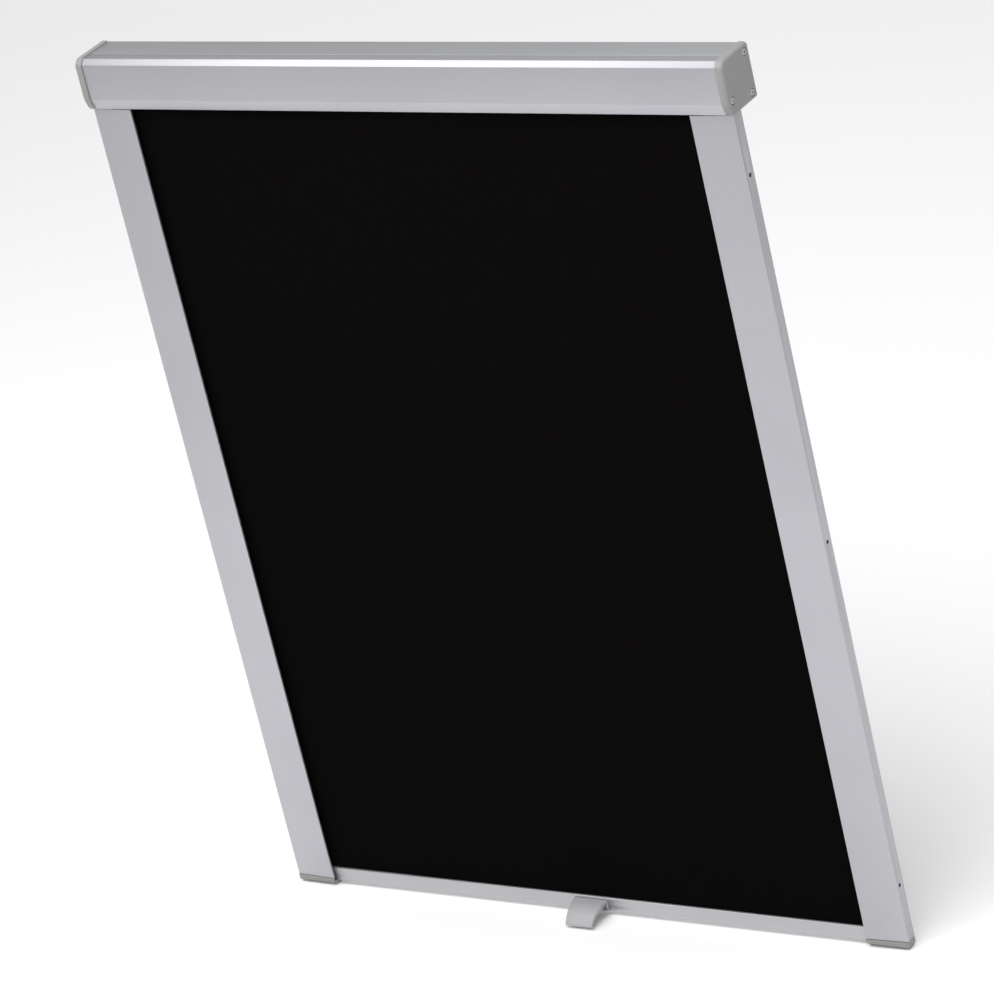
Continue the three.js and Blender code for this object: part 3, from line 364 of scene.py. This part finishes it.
# Moulded ABS from an eroded mould: a warm, flat grey with a soft light on its rounded edges.
grey_abs, tree, shader = material("moulded_grey_abs", IOR=1.5)
moulded(tree, shader, CAP_COLOURS, CAP_ROUGHNESS)
for side in ("left", "right"):
    fit(eased(f"end_cap_{side}_moulding", f"end_cap_{side}", CAP_EDGE), grey_abs, "moulded_grey",
        f"end_cap_{side}")


# Screws: steel, bright zinc plated, with a rolled thread and a cross recess. Three hold each
# end cap, one holds each rail's foot and two hold the handle.
ZINC_COLOURS = ("#c2c5c9", "#a9acb2")
ZINC_SPANGLE = 700.0                      # grains in each metre
ZINC_ROUGHNESS = (0.2, 0.38)
CAP_SCREW = (0.0017, 0.0035, 0.0021)      # radius of the thread, radius and height of the head
SMALL_SCREW = (0.00145, 0.0027, 0.0016)
THREAD_PITCH = 0.0013
THREAD_HEIGHT = 0.00022
RECESS_WIDTH = 0.0008
RECESS_DEPTH = 0.0009
RECESS_LENGTH = 0.0034
RECESS_STEP = 0.00003                     # between the floors of the two slots
HEAD_TOP_SHARE = 0.8
HEAD_EDGE_SHARE = 0.5
SCREW_FLATS = 24
THREAD_STEPS = 16                         # in each turn
THREAD_SIDES = 4
PLAIN_TURNS = 2.0                         # without a thread, at the two ends together


def tree_with(name, sockets):
    """A geometry tree with named inputs. It returns the tree, its inputs and its output node."""
    made = bpy.data.node_groups.new(name, "GeometryNodeTree")
    made.interface.new_socket(name="Geometry", in_out="INPUT", socket_type="NodeSocketGeometry")
    for label, kind in sockets.items():
        made.interface.new_socket(name=label, in_out="INPUT", socket_type="NodeSocket" + kind)
    made.interface.new_socket(name="Geometry", in_out="OUTPUT", socket_type="NodeSocketGeometry")
    return made, node(made, "NodeGroupInput").outputs, node(made, "NodeGroupOutput")


def grown(name, tree, base, sizes):
    """Runs a geometry tree on a base mesh, and keeps the result as one plain mesh."""
    piece = bpy.data.objects.new(name, base)
    scene.collection.objects.link(piece)
    modifier = piece.modifiers.new("growth", "NODES")
    modifier.node_group = tree
    for item in tree.interface.items_tree:
        if item.in_out == "INPUT" and item.name in sizes:
            modifier[item.identifier] = sizes[item.name]
    depsgraph = bpy.context.evaluated_depsgraph_get()
    depsgraph.update()
    result = bpy.data.meshes.new_from_object(piece.evaluated_get(depsgraph), depsgraph=depsgraph)
    piece.modifiers.clear()
    piece.data = result
    result.name = name
    return piece


# The screw stands along +Z with the underside of its head at the origin. The tree puts one on
# each point, turned to the direction in which it is driven.
screws, sizes_in, screws_out = tree_with("driven_screws", {
    "Shank Radius": "Float", "Shank Length": "Float", "Head Radius": "Float",
    "Head Height": "Float", "Material": "Material"})
core = node(screws, "ShaderNodeMath", {0: sizes_in["Shank Radius"], 1: THREAD_HEIGHT},
            operation="SUBTRACT")
shank = node(screws, "GeometryNodeMeshCone", {
    "Vertices": SCREW_FLATS, "Radius Top": core.outputs[0], "Radius Bottom": core.outputs[0],
    "Depth": sizes_in["Shank Length"]})
turns = node(screws, "ShaderNodeMath", {0: sizes_in["Shank Length"], 1: THREAD_PITCH},
             operation="DIVIDE")
cut = node(screws, "ShaderNodeMath", {0: turns.outputs[0], 1: PLAIN_TURNS}, operation="SUBTRACT")
rise = node(screws, "ShaderNodeMath", {0: cut.outputs[0], 1: THREAD_PITCH}, operation="MULTIPLY")
helix = node(screws, "GeometryNodeCurveSpiral", {
    "Resolution": THREAD_STEPS, "Rotations": cut.outputs[0], "Start Radius": core.outputs[0],
    "End Radius": core.outputs[0], "Height": rise.outputs[0]})
ridge = node(screws, "GeometryNodeCurvePrimitiveCircle", {
    "Resolution": THREAD_SIDES, "Radius": THREAD_HEIGHT})
thread = node(screws, "GeometryNodeCurveToMesh", {
    "Curve": helix.outputs[0], "Profile Curve": ridge.outputs[0], "Fill Caps": True})
thread_up = node(screws, "GeometryNodeTransform", {
    "Geometry": thread.outputs[0], "Translation": (0, 0, THREAD_PITCH)})
edge = node(screws, "ShaderNodeMath", {0: sizes_in["Head Height"], 1: HEAD_EDGE_SHARE},
            operation="MULTIPLY")
dome = node(screws, "ShaderNodeMath", {0: sizes_in["Head Height"], 1: edge.outputs[0]},
            operation="SUBTRACT")
top = node(screws, "ShaderNodeMath", {0: sizes_in["Head Radius"], 1: HEAD_TOP_SHARE},
           operation="MULTIPLY")
rim = node(screws, "GeometryNodeMeshCone", {
    "Vertices": SCREW_FLATS, "Radius Top": sizes_in["Head Radius"],
    "Radius Bottom": sizes_in["Head Radius"], "Depth": edge.outputs[0]})
crown = node(screws, "GeometryNodeMeshCone", {
    "Vertices": SCREW_FLATS, "Radius Top": top.outputs[0], "Radius Bottom": sizes_in["Head Radius"],
    "Depth": dome.outputs[0]})
edge_up = node(screws, "ShaderNodeCombineXYZ", {"Z": edge.outputs[0]})
crown_up = node(screws, "GeometryNodeTransform", {
    "Geometry": crown.outputs[0], "Translation": edge_up.outputs[0]})
blank = node(screws, "GeometryNodeMeshBoolean", {"Mesh 2": [rim.outputs[0], crown_up.outputs[0]]},
             operation="UNION")
recess_top = node(screws, "ShaderNodeCombineXYZ", {"Z": sizes_in["Head Height"]})
slots = [node(screws, "GeometryNodeTransform", {
    "Geometry": node(screws, "GeometryNodeMeshCube", {"Size": size}).outputs[0],
    "Translation": recess_top.outputs[0]}).outputs[0]
    for size in ((RECESS_LENGTH, RECESS_WIDTH, 2 * RECESS_DEPTH),
                 (RECESS_WIDTH, RECESS_LENGTH, 2 * (RECESS_DEPTH - RECESS_STEP)))]
head = node(screws, "GeometryNodeMeshBoolean", {"Mesh 1": blank.outputs[0], "Mesh 2": slots},
            operation="DIFFERENCE")
head_down = node(screws, "GeometryNodeTransform", {
    "Geometry": head.outputs[0], "Rotation": (math.pi, 0, 0)})
screw = node(screws, "GeometryNodeJoinGeometry", {
    "Geometry": [shank.outputs[0], thread_up.outputs[0], head_down.outputs[0]]})
drive = node(screws, "GeometryNodeInputNamedAttribute", {"Name": "drive"}, data_type="FLOAT_VECTOR")
turned = node(screws, "FunctionNodeAlignRotationToVector", {"Vector": drive.outputs[0]}, axis="Z")
placed = node(screws, "GeometryNodeInstanceOnPoints", {
    "Points": sizes_in["Geometry"], "Instance": screw.outputs[0], "Rotation": turned.outputs[0]})
real = node(screws, "GeometryNodeRealizeInstances", {"Geometry": placed.outputs[0]})
plated = node(screws, "GeometryNodeSetMaterial", {
    "Geometry": real.outputs[0], "Material": sizes_in["Material"]})
screws.links.new(plated.outputs[0], screws_out.inputs[0])

# Steel with a bright zinc plating: a cool, pale metal whose gloss breaks up into fine grains.
zinc, tree, shader = material("bright_zinc_plated_steel", Metallic=1.0)
where = node(tree, "ShaderNodeTexCoord").outputs["Object"]
spangle = node(tree, "ShaderNodeTexNoise", {"Vector": where, "Scale": ZINC_SPANGLE, "Detail": 2.0})
plating = node(tree, "ShaderNodeMix", {"Factor": spangle.outputs[0], 6: linear(ZINC_COLOURS[0]),
                                       7: linear(ZINC_COLOURS[1])}, data_type="RGBA")
shine = node(tree, "ShaderNodeMapRange", {
    "Value": spangle.outputs[0], "To Min": ZINC_ROUGHNESS[0], "To Max": ZINC_ROUGHNESS[1]})
tree.links.new(plating.outputs[2], shader.inputs["Base Color"])
tree.links.new(shine.outputs[0], shader.inputs["Roughness"])


def screw_set(name, nodes, direction, shank_radius, head_radius, head_height):
    """Screws in the places of like CAD nodes. A direction points from a head to its tip."""
    points = bpy.data.meshes.new(name)
    seats, ways = [], []
    for one in nodes:
        lower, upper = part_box(one)
        way = Vector(direction(one))
        middle, reach = (lower + upper) / 2, (upper - lower) / 2
        outer = middle - Vector([reach[i] * way[i] for i in range(3)])
        seats.append(outer + way * head_height)
        ways.append(way)
        length = abs((upper - lower).dot(way)) - head_height
    points.from_pydata(seats, [], [])
    stored = points.attributes.new("drive", "FLOAT_VECTOR", "POINT")
    stored.data.foreach_set("vector", [c for way in ways for c in way])
    return grown(name, screws, points, {
        "Shank Radius": shank_radius, "Shank Length": length, "Head Radius": head_radius,
        "Head Height": head_height, "Material": zinc})


cap_screw_nodes = [n for n in cad if n.startswith("end_cap_screw")]
fit(screw_set("end_cap_screws", cap_screw_nodes,
              lambda n: (1, 0, 0) if "left" in n else (-1, 0, 0), *CAP_SCREW),
    None, "steel", *cap_screw_nodes)


# Roller tube: thin extruded aluminium with a round groove along it. A white nylon rod in the
# groove holds the cloth's upper edge, and a moulded plug turns in each end.
TUBE_EDGE = 0.0001
TUBE_TURN = 30                            # degrees: the groove's mouth turns less than a corner
ROD_EDGE = 0.0001
PLUG_EDGE = 0.0003
PLUG_COLOURS = ("#3d3e40", "#343537")
PLUG_ROUGHNESS = (0.45, 0.6)
NYLON_COLOURS = ("#e9e8e3", "#dddcd6")
NYLON_ROUGHNESS = (0.3, 0.4)

fit(eased("roller_tube_profile", "roller_tube", TUBE_EDGE, TUBE_TURN), mill_along_x,
    "mill_aluminium", "roller_tube")
# Drawn nylon rod: milky white, a little glossy, and light goes a short way into it.
white_nylon, tree, shader = material("drawn_white_nylon", IOR=1.53, Subsurface_Weight=0.1,
                                     Subsurface_Scale=0.001)
moulded(tree, shader, NYLON_COLOURS, NYLON_ROUGHNESS)
fit(eased("cloth_rod", "cloth_spline", ROD_EDGE), white_nylon, "white_plastic", "cloth_spline")
# Nylon filled with glass fibre: dark grey and dull, as the fibres roughen its skin.
dark_nylon, tree, shader = material("moulded_dark_glass_filled_nylon", IOR=1.53)
moulded(tree, shader, PLUG_COLOURS, PLUG_ROUGHNESS)
for name in ("idle_plug", "spring_plug", "spring_anchor"):
    fit(eased(f"{name}_moulding", name, PLUG_EDGE), dark_nylon, "dark_plastic", name)
for name in ("idle_pin", "spring_spindle"):
    fit(eased(f"{name}_steel", name, PLUG_EDGE), zinc, "steel", name)


# Springs: patented steel wire, cold coiled. The long one is wound round the spindle and lifts
# the blind. A small one behind each brake shoe presses it on its rail.
LIFTING_SPRING = (38.0, 0.0012)           # turns, thickness of the wire
BRAKE_SPRING = (5.0, 0.0005)
WIRE_COLOURS = ("#8d8f92", "#75777a")
WIRE_ROUGHNESS = (0.28, 0.42)
WIRE_DEPTH = 0.00001
WIRE_SIDES = 8
COIL_STEPS = 28                           # in each turn

springs, sizes_in, springs_out = tree_with("wound_spring", {
    "Turns": "Float", "Coil Radius": "Float", "Wire Radius": "Float", "Length": "Float",
    "Start": "Vector", "Material": "Material"})
line = node(springs, "GeometryNodeCurveSpiral", {
    "Resolution": COIL_STEPS, "Rotations": sizes_in["Turns"],
    "Start Radius": sizes_in["Coil Radius"], "End Radius": sizes_in["Coil Radius"],
    "Height": sizes_in["Length"]})
wire = node(springs, "GeometryNodeCurvePrimitiveCircle", {
    "Resolution": WIRE_SIDES, "Radius": sizes_in["Wire Radius"]})
swept = node(springs, "GeometryNodeCurveToMesh", {
    "Curve": line.outputs[0], "Profile Curve": wire.outputs[0], "Fill Caps": True})
laid = node(springs, "GeometryNodeTransform", {
    "Geometry": swept.outputs[0], "Translation": sizes_in["Start"],
    "Rotation": (0, math.pi / 2, 0)})
smooth = node(springs, "GeometryNodeSetShadeSmooth", {"Geometry": laid.outputs[0]})
real = node(springs, "GeometryNodeRealizeInstances", {"Geometry": smooth.outputs[0]})
drawn = node(springs, "GeometryNodeSetMaterial", {
    "Geometry": real.outputs[0], "Material": sizes_in["Material"]})
springs.links.new(drawn.outputs[0], springs_out.inputs[0])

# Hard drawn steel wire: a darker grey metal with the fine marks of the drawing die.
spring_wire, tree, shader = material("cold_drawn_spring_steel", Metallic=1.0)
extruded(tree, shader, 0, WIRE_COLOURS, WIRE_ROUGHNESS, WIRE_DEPTH)


def spring(name, cad_node, turns_count, wire_diameter):
    """A coil that fills the box of its CAD node."""
    lower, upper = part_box(cad_node)
    radius = (upper.z - lower.z - wire_diameter) / 2
    start = (lower + upper) / 2
    start.x = lower.x + wire_diameter / 2
    return grown(name, springs, bpy.data.meshes.new(name), {
        "Turns": turns_count, "Coil Radius": radius, "Wire Radius": wire_diameter / 2,
        "Length": upper.x - lower.x - wire_diameter, "Start": start, "Material": spring_wire})


fit(spring("lifting_spring", "torsion_spring", *LIFTING_SPRING), None, "steel", "torsion_spring")
for side in ("left", "right"):
    fit(spring(f"brake_spring_{side}_coil", f"brake_spring_{side}", *BRAKE_SPRING), None, "steel",
        f"brake_spring_{side}")


# Cloth on the roller: the blackout cloth that stays wound round the tube when the blind is
# shut, two turns of it. It is one sheet, clipped in the tube's groove at its inner end.
CLOTH_COLOURS = ("#040303", "#0c0a0b")
CLOTH_YARN = 0.0009      # the real yarns are about 0.35 mm apart; coarser here so that they show
CLOTH_SLUBS = (900.0, 30.0, 1.0)   # thick places in each metre, across and along the yarn
CLOTH_RELIEF = 0.00006
CLOTH_STRENGTH = 0.6
ROLL_TURNS = 2.0
ROLL_INNER = 0.01318
ROLL_OUTER = 0.01362
ROLL_SHEET = 0.00036
ROLL_COLUMNS = 24
ROLL_STEPS = 72          # in each turn
SHEET_TURN = 60          # degrees: only the sheet's cut edge is sharper than this

# Woven polyester with a blackout coating: deep black and matt, so that only the light which
# grazes it shows the weave.
blackout, tree, shader = material("woven_blackout_polyester", Roughness=0.9,
                                  Specular_IOR_Level=0.02)
uv = node(tree, "ShaderNodeUVMap").outputs[0]
split = node(tree, "ShaderNodeSeparateXYZ", {0: uv})
waves = []
for axis in (0, 1):
    scaled = node(tree, "ShaderNodeMath", {0: split.outputs[axis], 1: math.pi / CLOTH_YARN},
                  operation="MULTIPLY")
    waves.append(node(tree, "ShaderNodeMath", {0: scaled.outputs[0]}, operation="SINE").outputs[0])
weave = node(tree, "ShaderNodeMath", {0: waves[0], 1: waves[1]}, operation="MULTIPLY")
drawn_out = node(tree, "ShaderNodeMapping", {"Vector": uv, "Scale": CLOTH_SLUBS})
slub = node(tree, "ShaderNodeTexNoise", {"Vector": drawn_out.outputs[0], "Scale": 1.0,
                                         "Detail": 2.0})
yarn = node(tree, "ShaderNodeMath", {0: weave.outputs[0], 1: slub.outputs[0]}, operation="ADD")
shade = node(tree, "ShaderNodeMapRange", {"Value": yarn.outputs[0], "From Min": -0.5,
                                          "From Max": 1.5})
dye = node(tree, "ShaderNodeMix", {"Factor": shade.outputs[0], 6: linear(CLOTH_COLOURS[0]),
                                   7: linear(CLOTH_COLOURS[1])}, data_type="RGBA")
tree.links.new(dye.outputs[2], shader.inputs["Base Color"])
relief = node(tree, "ShaderNodeBump", {"Height": yarn.outputs[0], "Distance": CLOTH_RELIEF,
                                       "Strength": CLOTH_STRENGTH})
tree.links.new(relief.outputs[0], shader.inputs["Normal"])


def cloth_sheet(name, columns, rows, place, thickness):
    """A closed thin sheet over a grid. place(u, v) gives a point and the way its front faces."""
    mesh = bmesh.new()
    layer = mesh.loops.layers.uv.new("cut")
    sides = []
    for way in (1, -1):
        grid = []
        for j in range(rows + 1):
            for i in range(columns + 1):
                point, front = place(i / columns, j / rows)
                grid.append(mesh.verts.new(point + front * (way * thickness / 2)))
        sides.append(grid)
    wide = columns + 1
    rim = ([i for i in range(wide)]
           + [j * wide + columns for j in range(1, rows + 1)]
           + [rows * wide + i for i in range(columns - 1, -1, -1)]
           + [j * wide for j in range(rows - 1, 0, -1)])
    spots = {vert: k for grid in sides for k, vert in enumerate(grid)}
    for way, grid in zip((1, -1), sides):
        for j in range(rows):
            for i in range(columns):
                ring = [grid[j * wide + i], grid[j * wide + i + 1], grid[(j + 1) * wide + i + 1],
                        grid[(j + 1) * wide + i]]
                mesh.faces.new(ring if way == 1 else ring[::-1])
    for a, b in zip(rim, rim[1:] + rim[:1]):
        mesh.faces.new([sides[0][b], sides[0][a], sides[1][a], sides[1][b]])
    mesh.normal_update()
    for face in mesh.faces:
        face.smooth = True
        for loop in face.loops:
            row, column = divmod(spots[loop.vert], wide)
            loop[layer].uv = (column / columns * CLOTH_WIDTH, row / rows * CLOTH_LENGTH)
    data = bpy.data.meshes.new(name)
    mesh.to_mesh(data)
    mesh.free()
    data.set_sharp_from_angle(angle=math.radians(SHEET_TURN))
    piece = bpy.data.objects.new(name, data)
    scene.collection.objects.link(piece)
    return piece


roll_low, roll_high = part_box("cloth_roll")
roll_axis = (roll_low + roll_high) / 2
CLOTH_WIDTH = roll_high.x - roll_low.x
CLOTH_LENGTH = math.tau * ROLL_TURNS * (ROLL_INNER + ROLL_OUTER) / 2


def on_roll(u, v):
    """A point on the wound sheet, from the clipped inner end, v = 0, to the front, v = 1."""
    angle = math.tau * ROLL_TURNS * (1 - v)
    out = Vector((0, -math.cos(angle), math.sin(angle)))
    radius = ROLL_INNER + (ROLL_OUTER - ROLL_INNER) * v
    return Vector((roll_low.x + CLOTH_WIDTH * u, roll_axis.y, roll_axis.z)) + out * radius, out


wound = fit(cloth_sheet("wound_cloth", ROLL_COLUMNS, round(ROLL_TURNS * ROLL_STEPS), on_roll,
                        ROLL_SHEET), blackout, "blackout_cloth", "cloth_roll")


# Hanging cloth: the rest of the same sheet, from the front of the roll down to the bottom bar.
# The spring keeps it taut, so it is flat but for faint ripples that fade towards its edges.
HANGING_SHEET = 0.00034
HANGING_COLUMNS = 120
HANGING_ROWS = 90
RIPPLE_HEIGHT = 0.0006
RIPPLE_COUNT = 5
RIPPLE_WANDER = 1.9      # radians by which the ripples stray sideways on their way down

hang_low, hang_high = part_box("blackout_cloth")
CLOTH_WIDTH = hang_high.x - hang_low.x
CLOTH_LENGTH = hang_high.z - hang_low.z


def on_hanging(u, v):
    """A point on the hanging sheet, v = 0 at the bar and 1 at the roll."""
    fade = math.sin(math.pi * u) ** 0.5 * math.sin(math.pi * v) ** 0.7
    wander = RIPPLE_WANDER * math.sin(2.3 * v + 0.4)
    swell = 0.55 + 0.45 * math.sin(5 * v + u)
    wave = math.sin(RIPPLE_COUNT * math.tau * u + wander) * swell
    depth = (hang_low.y + hang_high.y) / 2 - RIPPLE_HEIGHT * fade * wave
    point = Vector((hang_low.x + CLOTH_WIDTH * u, depth, hang_low.z + CLOTH_LENGTH * v))
    return point, Vector((0, -1, 0))


hanging = fit(cloth_sheet("hanging_cloth", HANGING_COLUMNS, HANGING_ROWS, on_hanging,
                          HANGING_SHEET), blackout, "blackout_cloth", "blackout_cloth")
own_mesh(hanging)


# Side rails: extruded aluminium, satin anodised. The back flange lies on the window, and the
# lips in front hide the bar's guides, the brake shoes and the cloth's edge from the light.
RAIL_COLOURS = ("#b7b6bb", "#b0afb4")
RAIL_ROUGHNESS = (0.38, 0.48)
ANODISED_DEPTH = 0.00002
RAIL_EDGE = 0.0002
RAIL_ROUND = 0.0007      # along the two front edges of a rail's face
ON_SIDE = 1e-5
INNER_REACH = 2e-4       # how far behind the face its inner and its outer edge may lie
OUTER_REACH = 0.0024

rail_low, rail_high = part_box("side_rail_right")


def rail_front_edge(point):
    """The rounding of a rail's edge at this point: the two long edges of its face have more."""
    across, behind = abs(point.x), abs(point.y - rail_low.y)
    on_inner = abs(across - rail_low.x) < ON_SIDE and behind < INNER_REACH
    on_outer = abs(across - rail_high.x) < ON_SIDE and behind < OUTER_REACH
    return RAIL_ROUND if on_inner or on_outer else 0


# Satin anodised aluminium: a soft silver with a breath of violet, drawn out in faint lines.
anodised_along_z, tree, shader = material("satin_anodised_aluminium_rail", Metallic=0.85)
extruded(tree, shader, 2, RAIL_COLOURS, RAIL_ROUGHNESS, ANODISED_DEPTH)
for side in ("left", "right"):
    fit(eased(f"side_rail_{side}_profile", f"side_rail_{side}", RAIL_EDGE, rounder=rail_front_edge),
        anodised_along_z, "rail_aluminium", f"side_rail_{side}")


# Rail feet and tongues: moulded pieces in the rails' ends. A grey foot closes each lower end
# and a screw holds it. A dark tongue joins each upper end to the head box.
FOOT_EDGE = 0.00035
TONGUE_EDGE = 0.0002

for side in ("left", "right"):
    fit(eased(f"rail_foot_{side}_moulding", f"rail_foot_{side}", FOOT_EDGE), grey_abs,
        "moulded_grey", f"rail_foot_{side}")
    fit(eased(f"rail_tongue_{side}_moulding", f"rail_tongue_{side}", TONGUE_EDGE), dark_nylon,
        "dark_plastic", f"rail_tongue_{side}")
foot_screw_nodes = ["rail_foot_screw_left", "rail_foot_screw_right"]
fit(screw_set("rail_foot_screws", foot_screw_nodes, lambda n: (0, 0, 1), *SMALL_SCREW),
    None, "steel", *foot_screw_nodes)


# Bottom bar: extruded aluminium, anodised like the rails. A white nylon rod in its groove holds
# the cloth's lower edge, and its ends run in the rails on two guides.
# Painted light: the rails' colours made a little lighter, to offset the shade near the floor.
BAR_LIGHTENED_COLOURS = ("#bdbdc0", "#b5b5b8")
BAR_ROUGHNESS = (0.36, 0.46)
BAR_EDGE = 0.00025

# The rails' satin finish along the bar, a little glossier, painted lighter to offset shade near the
# floor.
anodised_along_x, tree, shader = material("satin_anodised_aluminium_bar", Metallic=0.85)
extruded(tree, shader, 0, BAR_LIGHTENED_COLOURS, BAR_ROUGHNESS, ANODISED_DEPTH)
fit(eased("bottom_bar_profile", "bottom_bar", BAR_EDGE), anodised_along_x, "rail_aluminium",
    "bottom_bar")
fit(eased("bar_rod", "bar_spline", ROD_EDGE), white_nylon, "white_plastic", "bar_spline")


# Guides and brakes: a dark moulded guide on each end of the bar. A felt shoe in each guide is
# pressed on the rail by its spring, and holds the blind where it is left.
GUIDE_EDGE = 0.0002
SHOE_EDGE = 0.0003
FELT_COLOURS = ("#5b5a5c", "#49484a")
FELT_FIBRE = 0.0006      # real wool is some 0.03 mm thick; coarser here so that it shows
FELT_DEPTH = 0.0002
FELT_STRENGTH = 0.7

for side in ("left", "right"):
    fit(eased(f"bar_guide_{side}_moulding", f"bar_glide_{side}", GUIDE_EDGE), dark_nylon,
        "dark_plastic", f"bar_glide_{side}")
# Pressed wool: a dull grey without any gloss, mottled, with a pale fuzz along its edges.
felt, tree, shader = material("pressed_wool_felt", Sheen_Weight=0.4, IOR=1.5, Roughness=0.95)
where = node(tree, "ShaderNodeTexCoord").outputs["Object"]
fibres = node(tree, "ShaderNodeTexNoise", {"Vector": where, "Scale": 1 / FELT_FIBRE, "Detail": 4.0,
                                           "Distortion": 1.2})
wool = node(tree, "ShaderNodeMix", {"Factor": fibres.outputs[0], 6: linear(FELT_COLOURS[0]),
                                    7: linear(FELT_COLOURS[1])}, data_type="RGBA")
relief = node(tree, "ShaderNodeBump", {"Height": fibres.outputs[0], "Distance": FELT_DEPTH,
                                       "Strength": FELT_STRENGTH})
tree.links.new(wool.outputs[2], shader.inputs["Base Color"])
tree.links.new(relief.outputs[0], shader.inputs["Normal"])
for side in ("left", "right"):
    fit(eased(f"brake_shoe_{side}_felt", f"brake_shoe_{side}", SHOE_EDGE), felt, "brake_felt",
        f"brake_shoe_{side}")


# Handle: one ABS moulding in a silver grey near the bar's, level above and curved down to its
# lip. Two screws hold it from behind the bar.
HANDLE_COLOURS = ("#ababad", "#a4a4a6")
HANDLE_ROUGHNESS = (0.5, 0.62)
HANDLE_EDGE = 0.0005
HANDLE_TURN = 34         # degrees: the flap's curve turns less at each step

# Moulded ABS with a metallic pigment: a plain silver grey, duller than the bar beside it.
silver_abs, tree, shader = material("moulded_silver_grey_abs", IOR=1.5, Metallic=0.15)
moulded(tree, shader, HANDLE_COLOURS, HANDLE_ROUGHNESS)
fit(eased("handle_moulding", "handle", HANDLE_EDGE, HANDLE_TURN), silver_abs, "moulded_grey",
    "handle")
handle_screw_nodes = ["handle_screw_left", "handle_screw_right"]
fit(screw_set("handle_screws", handle_screw_nodes, lambda n: (0, -1, 0), *SMALL_SCREW),
    None, "steel", *handle_screw_nodes)
